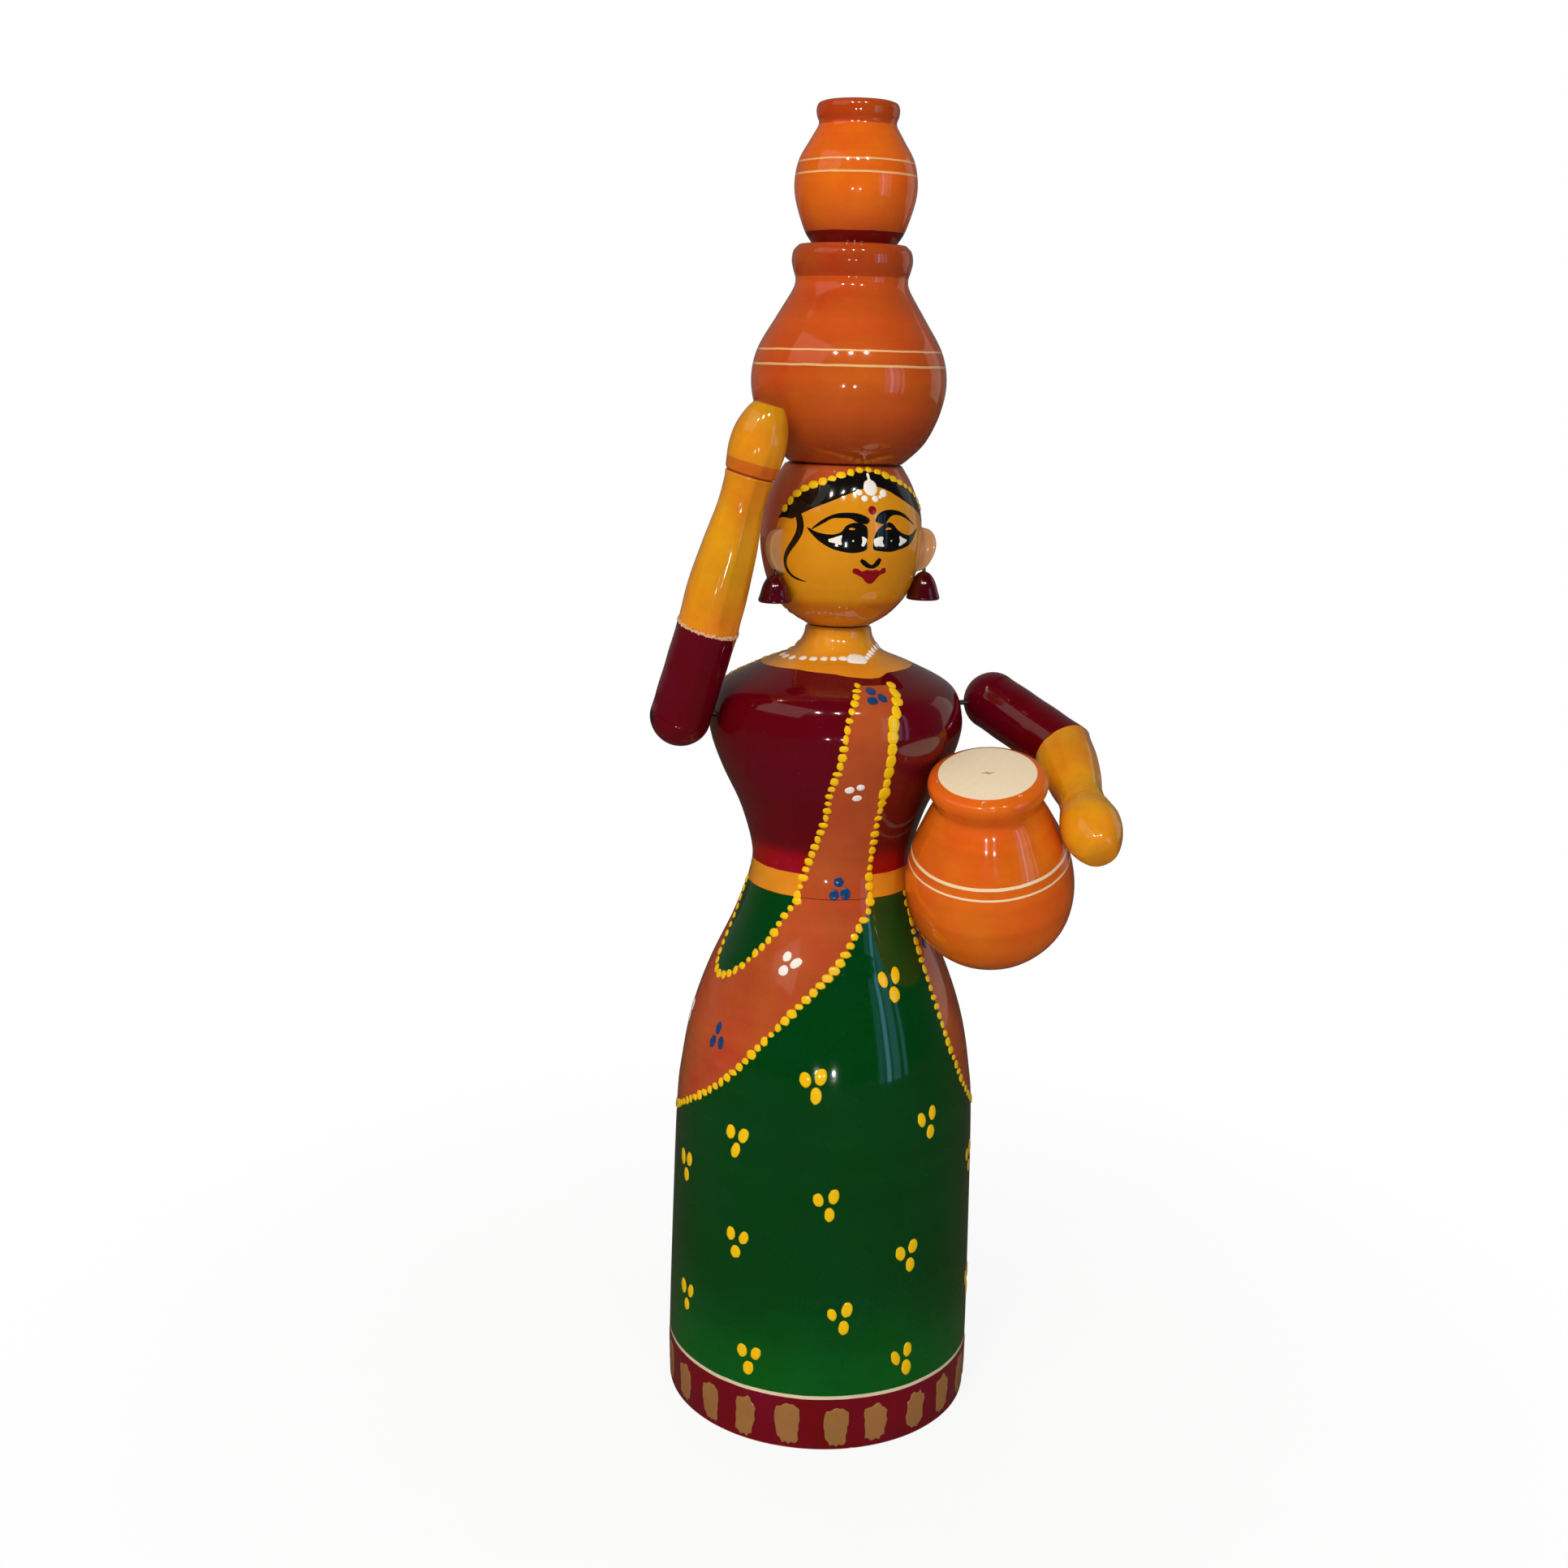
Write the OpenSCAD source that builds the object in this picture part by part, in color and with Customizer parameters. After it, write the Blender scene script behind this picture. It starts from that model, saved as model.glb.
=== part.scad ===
// Turned and lacquered wooden pot carrier doll.
// A woman in a long skirt stands on her flat hem, with two water pots stacked on her head and a third
// on her left hip. Her right arm is raised to the pots and her left arm reaches round the hip pot.
// Each arm swings on one nail through its shoulder end. She faces -Y and her left is +X.

/* [Skirt and bodice] */
// Height of the skirt, from the table to the waist seam
skirt_h = 162; // [160:0.5:164]
// Radius of the skirt at its hem
hem_r = 46.4; // [45:0.2:48]
// Radius of the waist seam
waist_r = 24.7; // [24:0.1:25]
// Height of the bodice, from the waist seam to the top of the neck
bodice_h = 76; // [75.5:0.5:76.5]
// Radius of the shoulders at their widest
shoulder_r = 36.8; // [36:0.2:37]
// Radius of the neck under the head
neck_r = 9.5; // [9:0.1:11]

/* [Head and ears] */
// Height of the head, from the neck to the lower pot
head_h = 46; // [45:0.5:46.5]
// Radius of the head at its widest
head_r = 23; // [22.5:0.1:23.2]
// Angle from the middle of the face to each ear
ear_angle = 69; // [66:1:72]
// How far an ear stands out from the head
ear_reach = 4.3; // [3.5:0.1:4.5]
// Radius of an earring at its open lower edge
earring_r = 4.8; // [4.2:0.1:4.9]

/* [Pots] */
// Height of the pot that stands on the head
lower_pot_h = 59.4; // [58:0.2:61]
// Radius of that pot at its widest
lower_pot_r = 27.5; // [26:0.1:27.6]
// Height of the small pot on top
upper_pot_h = 37.6; // [36:0.2:40]
// Radius of the small pot at its widest
upper_pot_r = 16.9; // [16:0.1:17.6]
// How far the pot on the head stands off centre, towards her left
lower_pot_shift = 0.9; // [0:0.1:1]
// How far the small pot stands off centre, towards her left
upper_pot_shift = 1.3; // [0:0.1:1.4]
// Height of the hip pot along its own axis
hip_pot_h = 60.5; // [60:0.1:61]
// Radius of the hip pot at its widest
hip_pot_r = 24.2; // [23.8:0.1:24.3]
// Distance of the hip pot's widest circle from the figure's axis
hip_pot_out = 49.3; // [49.2:0.1:49.5]
// Angle of the hip pot round from the figure's front
hip_pot_side = 47; // [45:1:48]
// How far the hip pot leans over
hip_pot_lean = 20; // [19:0.5:20.5]

/* [Arms] */
// Radius of each sleeve
sleeve_r = 8.8; // [8.4:0.1:8.8]
// Length from a shoulder nail to the elbow
upper_arm_len = 28; // [27:0.5:28.5]
// Length of the raised forearm and hand
raised_forearm_len = 65; // [63:0.5:65.5]
// Length of the left forearm and hand
bent_forearm_len = 49; // [47:0.5:50]
// Radius of each wrist
wrist_r = 6.7; // [6.2:0.1:7]
// Radius of the raised hand
raised_hand_r = 7.9; // [7.4:0.1:8]
// Radius of the left hand
bent_hand_r = 8.6; // [8:0.1:8.7]
// Distance of the right shoulder nail's bearing from the figure's axis
right_shoulder_x = 47.1; // [47:0.1:47.6]
// Distance of the left shoulder nail's bearing from the figure's axis
left_shoulder_x = 50.5; // [50:0.1:51]
// Radius of a shoulder nail
nail_r = 0.75; // [0.6:0.05:0.9]

/* [Hidden] */
$fn = 96;
curve_steps = 5;          // straight spans drawn between two neighbouring key points
glue_gap = 0.05;          // radial room round a glued peg
turning_gap = 0.06;       // radial room round a nail that a piece swings on
seat_gap = 0.06;          // room between a carved piece and the round surface it sits on
ball_step = 0.05;         // how much thinner a sleeve is than the ball at its shoulder end
hip_lean_side = -35;      // angle from the front towards which the hip pot leans

neck_z = skirt_h + bodice_h;
head_top_z = neck_z + head_h;
lower_top_z = head_top_z + lower_pot_h;
top_z = lower_top_z + upper_pot_h;
shoulder_z = skirt_h + 0.67 * bodice_h;
ear_z = neck_z + 0.48 * head_h;

maroon = [0.34, 0.01, 0.05];
mustard = [0.82, 0.50, 0.03];
orange_glaze = [0.82, 0.33, 0.04];
skirt_green = [0.01, 0.20, 0.05];
bare_wood = [0.80, 0.72, 0.55];
steel_grey = [0.35, 0.33, 0.32];

// Unit vector that points `side` degrees round from the front (-Y) and `rise` degrees above level
function pointing(side, rise) = [sin(side) * cos(rise), -cos(side) * cos(rise), sin(rise)];
function unit(v) = v / norm(v);

// One point of the smooth curve through four key points, `t` of the way from b to c
function curve_point(a, b, c, d, t) =
    0.5 * (2 * b + (c - a) * t + (2 * a - 5 * b + 4 * c - d) * t * t + (3 * b - a - 3 * c + d) * t * t * t);

// Smooth curve through a list of key points
function smooth(keys) = [
    for (i = [0 : len(keys) - 2])
        for (s = [0 : curve_steps - 1])
            curve_point(keys[max(i - 1, 0)], keys[i], keys[i + 1], keys[min(i + 2, len(keys) - 1)], s / curve_steps),
    keys[len(keys) - 1]
];

// Key points given as [share of the way from radius r0 to r1, share of the way from height z0 to z1]
function between(shares, r0, r1, z0, z1) = [for (p = shares) [r0 + (r1 - r0) * p[0], z0 + (z1 - z0) * p[1]]];

// Solid turned on a lathe from an outline of [radius, height] points, grown outwards by `extra`
module turned(outline, extra = 0) {
    grown = [for (p = outline) [p[0] + extra, p[1]]];
    last = len(grown) - 1;
    rotate_extrude()
        polygon(concat([[0, grown[0][1]]], grown, [[0, grown[last][1]]]));
}

// Moves a child's +Z to point along `dir`, with its origin at `from`
module aim(from, dir) {
    translate(from)
        rotate([0, acos(dir[2] / norm(dir)), atan2(dir[1], dir[0])])
            children();
}

// Round peg that reaches `back` behind and `ahead` in front of a point, along `dir`
module peg(at, dir, r, back, ahead) {
    aim(at, dir)
        translate([0, 0, -back])
            cylinder(r = r, h = back + ahead);
}

// ---- Outlines ----

foot_edge = [[hem_r - 1.2, 0], [hem_r - 0.35, 0.7]];
skirt_outline = concat(foot_edge, smooth(between(
    [[0.99, 0.014], [1, 0.1], [0.982, 0.278], [0.935, 0.555], [0.872, 0.648], [0.745, 0.741],
     [0.515, 0.833], [0.2, 0.926], [0, 1]],
    waist_r, hem_r, 0, skirt_h)));

bodice_lower = between([[0, 0], [-0.1, 0.115], [0.2, 0.29], [0.67, 0.447], [0.955, 0.57], [1, 0.665]],
    waist_r, shoulder_r, skirt_h, neck_z);
bodice_upper = between([[0.885, 0.77], [0.48, 0.85], [0.15, 0.9], [0.03, 0.95], [0, 0.99]],
    neck_r, shoulder_r, skirt_h, neck_z);
bodice_outline = concat(smooth(concat(bodice_lower, bodice_upper)), [[neck_r - 0.7, neck_z]]);

head_outline = concat([[neck_r - 0.9, neck_z]], smooth(between(
    [[0.0, 0.008], [0.42, 0.09], [0.8, 0.24], [1, 0.475], [0.962, 0.7], [0.77, 0.87], [0.54, 0.988]],
    neck_r - 0.2, head_r, neck_z, head_top_z)), [[neck_r + 6.2, head_top_z]]);

pot_shares = [[0.61, 0.012], [0.8, 0.1], [0.943, 0.236], [1, 0.38], [0.943, 0.522], [0.755, 0.673],
    [0.6, 0.792], [0.57, 0.842], [0.592, 0.882], [0.612, 0.926], [0.597, 0.972], [0.54, 1]];
lower_pot_outline = concat([[0.575 * lower_pot_r, head_top_z]],
    smooth(between(pot_shares, 0, lower_pot_r, head_top_z, lower_top_z)));

small_pot_shares = [[0.7, 0.01], [0.845, 0.12], [1, 0.365], [0.955, 0.575], [0.765, 0.735],
    [0.635, 0.84], [0.665, 0.9], [0.675, 0.945], [0.645, 0.985], [0.57, 1]];
upper_pot_outline = concat([[0.68 * upper_pot_r, lower_top_z]],
    smooth(between(small_pot_shares, 0, upper_pot_r, lower_top_z, top_z)));

hip_shares = [[0.36, 0], [0.66, 0.07], [0.91, 0.2], [1, 0.369], [0.938, 0.559], [0.765, 0.726],
    [0.628, 0.84], [0.642, 0.885], [0.692, 0.932], [0.673, 0.976], [0.565, 1]];
hip_widest_share = 0.369;
hip_pot_outline = smooth(between(hip_shares, 0, hip_pot_r,
    -hip_widest_share * hip_pot_h, (1 - hip_widest_share) * hip_pot_h));

// ---- Places ----

hip_pot_at = pointing(hip_pot_side, 0) * hip_pot_out + [0, 0, skirt_h + 4];
hip_pot_axis = pointing(hip_lean_side, 90 - hip_pot_lean);
hip_touch = hip_pot_at - hip_pot_axis * 0.12 * hip_pot_h;
hip_peg_dir = unit([hip_touch[0], hip_touch[1], 0]);

right_shoulder = [-right_shoulder_x, 0, shoulder_z];
right_upper_dir = pointing(30, 69);
right_fore_dir = pointing(60.5, 75.3);
right_elbow = right_shoulder + upper_arm_len * right_upper_dir;

left_shoulder = [left_shoulder_x, 0, shoulder_z + 0.5];
left_upper_dir = pointing(29, -22.5);
left_fore_dir = pointing(-12, -25.7);
left_elbow = left_shoulder + upper_arm_len * left_upper_dir;

waist_dowel_r = 8;
neck_dowel_r = 3.5;
pot_peg_r = 3.5;
hip_peg_r = 2.5;
elbow_dowel_r = 2;
ear_peg_r = 0.9;
earring_pin_r = 0.5;
nail_head_r = 1.9;
nail_head_h = 0.8;
nail_depth = 13;          // how far a shoulder nail goes into the bodice

ear_h = 12.4;
ear_t = 3;
earring_h = 8.2;
earring_out = head_r + 1.1;
earring_top_z = ear_z - 0.5 * ear_h + 0.2;

// ---- Pegs and nails, each drawn once as itself and once, a little fatter, as its hole ----

module waist_dowel_shape(gap = 0) peg([0, 0, skirt_h], [0, 0, 1], waist_dowel_r + gap, 20 + gap, 20 + gap);
module neck_dowel_shape(gap = 0) peg([0, 0, neck_z], [0, 0, 1], neck_dowel_r + gap, 14 + gap, 14 + gap);

module lower_pot_peg_shape(gap = 0) {
    peg([lower_pot_shift, 0, head_top_z], [0, 0, 1], pot_peg_r + gap, 12 + gap, 12 + gap);
}

module upper_pot_peg_shape(gap = 0) {
    peg([upper_pot_shift, 0, lower_top_z], [0, 0, 1], pot_peg_r + gap, 12 + gap, 12 + gap);
}

module hip_pot_peg_shape(gap = 0) {
    peg([0, 0, hip_touch[2]], hip_peg_dir, hip_peg_r + gap, gap - 15, 37 + gap);
}

module elbow_dowel_shape(elbow, upper_dir, fore_dir, gap = 0) {
    peg(elbow, unit(upper_dir + fore_dir), elbow_dowel_r + gap, 7 + gap, 7 + gap);
}

// Nail along X through a shoulder end, `side` -1 for the right and 1 for the left
module shoulder_nail_shape(at, side, gap = 0) {
    head_x = at[0] + side * (sleeve_r - 0.25);
    tip_x = side * (shoulder_r - nail_depth);
    head_back = nail_head_h + gap;
    peg([tip_x, 0, at[2]], [side, 0, 0], nail_r + gap, 0, abs(head_x - tip_x));
    peg([head_x, 0, at[2]], [side, 0, 0], nail_head_r + gap, head_back, gap == 0 ? 0 : 1);
}

module ear_peg_shape(side, gap = 0) {
    peg([0, 0, ear_z], pointing(side * ear_angle, 0), ear_peg_r + gap, gap - head_r + 5, head_r + 2 + gap);
}

module earring_pin_shape(side, gap = 0) {
    at = pointing(side * ear_angle, 0) * earring_out + [0, 0, earring_top_z];
    peg(at, [0, 0, 1], earring_pin_r + gap, 3 + gap, 2 + gap);
}

// ---- Carved and turned pieces ----

module skirt() {
    color(skirt_green)
        difference() {
            turned(skirt_outline);
            waist_dowel_shape(glue_gap);
            hip_pot_peg_shape(glue_gap);
        }
}

module bodice() {
    color(maroon)
        difference() {
            turned(bodice_outline);
            waist_dowel_shape(glue_gap);
            neck_dowel_shape(glue_gap);
            peg([-shoulder_r + nail_depth, 0, shoulder_z], [-1, 0, 0], nail_r + glue_gap, glue_gap, shoulder_r);
            peg([shoulder_r - nail_depth, 0, left_shoulder[2]], [1, 0, 0], nail_r + glue_gap, glue_gap, shoulder_r);
        }
}

module head() {
    color(mustard)
        difference() {
            turned(head_outline);
            neck_dowel_shape(glue_gap);
            lower_pot_peg_shape(glue_gap);
            for (side = [-1, 1])
                ear_peg_shape(side, glue_gap);
        }
}

module lower_pot() {
    color(orange_glaze)
        difference() {
            translate([lower_pot_shift, 0, 0])
                turned(lower_pot_outline);
            lower_pot_peg_shape(glue_gap);
            upper_pot_peg_shape(glue_gap);
        }
}

module upper_pot() {
    color(orange_glaze)
        difference() {
            translate([upper_pot_shift, 0, 0])
                turned(upper_pot_outline);
            upper_pot_peg_shape(glue_gap);
        }
}

module hip_pot() {
    color(orange_glaze)
        difference() {
            aim(hip_pot_at, hip_pot_axis)
                turned(hip_pot_outline);
            hip_pot_peg_shape(glue_gap);
        }
}

// Lobe standing out of the head, widest in its upper half, cut to the head behind
module ear(side) {
    lobe = smooth([[-0.9, 0.46], [0.2, 0.49], [0.72, 0.4], [0.98, 0.2], [0.95, -0.02], [0.7, -0.24], [0.35, -0.41],
        [-0.1, -0.49], [-0.9, -0.5]]);
    outline = [for (p = lobe) [head_r + ear_reach * p[0], ear_h * p[1]]];
    color(bare_wood)
        difference() {
            translate([0, 0, ear_z])
                rotate([0, 0, side * ear_angle - 90])
                    rotate([90, 0, 0])
                        linear_extrude(ear_t, center = true)
                            polygon(outline);
            turned(head_outline, seat_gap);
            ear_peg_shape(side, glue_gap);
            earring_pin_shape(side, glue_gap);
        }
}

// Bell with a closed flat underside, hung below an ear and flattened where it meets the head
module earring(side) {
    bell = smooth(between([[0.25, 1], [0.62, 0.86], [0.86, 0.52], [0.98, 0.15], [1, 0.06], [0.94, 0]],
        0, earring_r, 0, earring_h));
    bell_outline = [for (i = [len(bell) - 1 : -1 : 0]) bell[i]];
    color(maroon)
        difference() {
            translate(pointing(side * ear_angle, 0) * earring_out + [0, 0, earring_top_z - earring_h])
                turned(bell_outline);
            turned(head_outline, seat_gap);
            ear_shell(side);
            earring_pin_shape(side, glue_gap);
        }
}

// Room kept clear of the earring for the tip of the ear above it
module ear_shell(side) {
    translate([0, 0, earring_top_z + 10 + seat_gap - 0.4])
        rotate([0, 0, side * ear_angle - 90])
            translate([head_r, 0, 0])
                cube([30, 20, 20], center = true);
}

// Half of space beyond an elbow's mitre, as a block wide enough to trim an arm
module beyond_elbow(elbow, upper_dir, fore_dir, facing) {
    aim(elbow, facing * unit(upper_dir + fore_dir))
        translate([-30, -30, 0])
            cube([60, 60, 60]);
}

// Sleeve with a ball end on its shoulder nail and a mitred lower end
module upper_arm(shoulder, side, upper_dir, fore_dir) {
    elbow = shoulder + upper_arm_len * upper_dir;
    color(maroon)
        difference() {
            union() {
                translate(shoulder)
                    sphere(r = sleeve_r);
                peg(shoulder, upper_dir, sleeve_r - ball_step, 0, upper_arm_len + sleeve_r);
            }
            beyond_elbow(elbow, upper_dir, fore_dir, 1);
            elbow_dowel_shape(elbow, upper_dir, fore_dir, glue_gap);
            shoulder_nail_shape(shoulder, side, turning_gap);
        }
}

// Forearm that narrows to the wrist and ends in a rounded, closed hand
module forearm(elbow, upper_dir, fore_dir, length, hand_len, hand_r) {
    wrist = length - hand_len;
    outline = smooth([
        [sleeve_r - 0.1, -sleeve_r],
        [sleeve_r - 0.1, 0.02 * wrist],
        [sleeve_r - 0.05, 0.25 * wrist],
        [sleeve_r - 0.9, 0.53 * wrist],
        [wrist_r, 0.77 * wrist],
        [wrist_r, 0.94 * wrist],
        [wrist_r + 0.4, wrist],
        [hand_r, wrist + 0.32 * hand_len],
        [0.93 * hand_r, wrist + 0.6 * hand_len],
        [0.65 * hand_r, wrist + 0.86 * hand_len],
        [0.3 * hand_r, wrist + 0.975 * hand_len],
        [0.01, length]
    ]);
    color(mustard)
        difference() {
            aim(elbow, fore_dir)
                turned(outline);
            beyond_elbow(elbow, upper_dir, fore_dir, -1);
            elbow_dowel_shape(elbow, upper_dir, fore_dir, glue_gap);
        }
}

module right_ear() ear(-1);
module left_ear() ear(1);
module right_earring() earring(-1);
module left_earring() earring(1);
module right_upper_arm() upper_arm(right_shoulder, -1, right_upper_dir, right_fore_dir);
module left_upper_arm() upper_arm(left_shoulder, 1, left_upper_dir, left_fore_dir);
module right_forearm() {
    forearm(right_elbow, right_upper_dir, right_fore_dir, raised_forearm_len, 21, raised_hand_r);
}
module left_forearm() {
    forearm(left_elbow, left_upper_dir, left_fore_dir, bent_forearm_len, 21, bent_hand_r);
}
module right_shoulder_nail() color(steel_grey) shoulder_nail_shape(right_shoulder, -1);
module left_shoulder_nail() color(steel_grey) shoulder_nail_shape(left_shoulder, 1);
module right_elbow_dowel() color(bare_wood) elbow_dowel_shape(right_elbow, right_upper_dir, right_fore_dir);
module left_elbow_dowel() color(bare_wood) elbow_dowel_shape(left_elbow, left_upper_dir, left_fore_dir);
module waist_dowel() color(bare_wood) waist_dowel_shape();
module neck_dowel() color(bare_wood) neck_dowel_shape();
module lower_pot_peg() color(bare_wood) lower_pot_peg_shape();
module upper_pot_peg() color(bare_wood) upper_pot_peg_shape();
module hip_pot_peg() color(bare_wood) hip_pot_peg_shape();
module ear_pegs() color(bare_wood) for (side = [-1, 1]) ear_peg_shape(side);
module earring_pins() color(steel_grey) for (side = [-1, 1]) earring_pin_shape(side);

skirt();
bodice();
head();
lower_pot();
upper_pot();
hip_pot();
right_ear();
left_ear();
right_earring();
left_earring();
right_upper_arm();
right_forearm();
left_upper_arm();
left_forearm();
right_shoulder_nail();
left_shoulder_nail();
right_elbow_dowel();
left_elbow_dowel();
waist_dowel();
neck_dowel();
lower_pot_peg();
upper_pot_peg();
hip_pot_peg();
ear_pegs();
earring_pins();
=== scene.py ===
import math
import random

import bmesh
import bpy
import numpy as np
from bpy.props import FloatProperty, FloatVectorProperty, IntProperty, PointerProperty
from mathutils import Matrix, Vector
from mathutils.geometry import delaunay_2d_cdt


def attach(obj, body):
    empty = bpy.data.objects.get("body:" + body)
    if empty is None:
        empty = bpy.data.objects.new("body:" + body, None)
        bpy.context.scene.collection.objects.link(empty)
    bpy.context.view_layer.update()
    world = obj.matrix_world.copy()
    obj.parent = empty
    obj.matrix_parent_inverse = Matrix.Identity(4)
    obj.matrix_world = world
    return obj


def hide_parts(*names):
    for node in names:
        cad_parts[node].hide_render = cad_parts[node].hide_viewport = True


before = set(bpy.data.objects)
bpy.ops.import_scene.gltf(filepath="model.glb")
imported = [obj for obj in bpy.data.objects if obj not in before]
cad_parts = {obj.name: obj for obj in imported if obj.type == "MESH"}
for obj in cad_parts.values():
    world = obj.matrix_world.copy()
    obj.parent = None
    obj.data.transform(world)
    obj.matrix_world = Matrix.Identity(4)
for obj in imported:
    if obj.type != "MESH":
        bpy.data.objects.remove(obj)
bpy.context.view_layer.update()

bl_info = {
    "name": "Pot carrier doll",
    "version": (1, 0, 0),
    "blender": (4, 5, 0),
    "location": "View3D > Sidebar > Doll",
    "description": "Paint, beads, carved arms and a plain studio for a turned wooden doll",
    "category": "Add Mesh",
}

MM = 0.001
UP = Vector((0, 0, 1))
FIGURE, RIGHT_ARM, LEFT_ARM = "figure", "right_arm", "left_arm"
SPOKES = 160               # flats round a turned piece
SKIRT_SPOKES = 192
BODY_SPOKES = 176
FOREARM_SPOKES = 144
BELL_SPOKES = 64
FACE_R = 22.0              # mm, radius at which brushed shapes on the face are laid out
RING_STEP = 1.1            # mm between the rings of a turned piece


def rgb(red, green, blue):
    """Linear colour from 8-bit display values."""
    return tuple((c / 255 / 12.92) if c <= 10 else ((c / 255 + 0.055) / 1.055) ** 2.4 for c in (red, green,
                                                                                                blue))


# ---- Sizes and colours a user would change ----


def colour(name, description, value):
    return FloatVectorProperty(name=name, description=description, subtype="COLOR", size=3, min=0, max=1,
                               default=rgb(*value))


def length(name, description, value, low, high):
    return FloatProperty(name=name, description=description, default=value, min=low, max=high,
                         subtype="DISTANCE", unit="LENGTH", precision=5)


class DollColours(bpy.types.PropertyGroup):
    """Enamel and wood colours of the doll"""

    green: colour("Skirt green", "Enamel of the skirt", (0, 66, 20))
    maroon: colour("Maroon", "Enamel of the bodice, sleeves and earrings", (98, 2, 18))
    red: colour("Waist red", "Brighter red just above the midriff", (152, 2, 16))
    mustard: colour("Mustard", "Enamel of the face and forearms", (226, 146, 24))
    skin: colour("Neck", "Enamel of the neck and midriff", (232, 148, 34))
    cloth: colour("Cloth", "Terracotta of the veil and the sash", (186, 82, 40))
    orange: colour("Pot orange", "Enamel of the hip pot and the small pot", (228, 104, 22))
    burnt: colour("Burnt orange", "Enamel of the big pot on the head", (202, 86, 27))
    hem: colour("Hem red", "Band round the foot of the skirt", (118, 8, 27))
    gold: colour("Bronze gold", "Dabs round the hem", (186, 130, 76))
    yellow: colour("Bead yellow", "Beads and dots", (255, 203, 15))
    cream: colour("Cream", "Line above the hem", (238, 220, 186))
    white: colour("White", "Necklace, white dots and eye whites", (255, 250, 242))
    blue: colour("Dot blue", "Blue dots on the sash", (26, 66, 118))
    black: colour("Kohl black", "Hair, brows and eyes", (16, 14, 13))
    lip: colour("Lip red", "Lips and forehead dot", (142, 8, 20))
    wood: colour("Bare wood", "Pegs and the unpainted pot tops", (250, 232, 200))


class DollSizes(bpy.types.PropertyGroup):
    """Sizes of the painted details"""

    film: length("Paint thickness", "How far a brushed shape stands off the wood", 0.00009, 0.00003, 0.0004)
    bead: length("Bead radius", "Radius of a border bead", 0.0012, 0.0006, 0.003)
    bead_step: length("Bead spacing", "Distance between two border beads", 0.0027, 0.001, 0.006)
    dot: length("Dot radius", "Radius of a dot in a cluster of three", 0.0016, 0.0006, 0.004)
    waver: FloatProperty(name="Brush waver", description="How far a painted edge wanders, in mm",
                         default=0.22,
                         min=0, max=2)
    gloss: FloatProperty(name="Lacquer roughness", description="Roughness of the lacquer", default=0.09,
                         min=0.02, max=0.6, subtype="FACTOR")
    seed: IntProperty(name="Seed", description="Seed of the hand-painted unevenness", default=7, min=0)


def sizes():
    return bpy.context.scene.doll_sizes


def paint(name):
    return tuple(getattr(bpy.context.scene.doll_colours, name))


# ---- Turned surfaces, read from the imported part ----

RING_VERTICES = 40         # fewest vertices at one height that count as a turned ring
RING_APART = 0.004         # mm in height between two different rings
BORE_SHARE = 0.7           # a ring thinner than this share of its neighbours belongs to a bore
NEAR = 2.4                 # mm within which rings are neighbours


def curve_point(a, b, c, d, t):
    """Point of the smooth curve through four key points, `t` of the way from b to c."""
    return 0.5 * (2 * b + (c - a) * t + (2 * a - 5 * b + 4 * c - d) * t * t
                  + (3 * b - a - 3 * c + d) * t ** 3)


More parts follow.
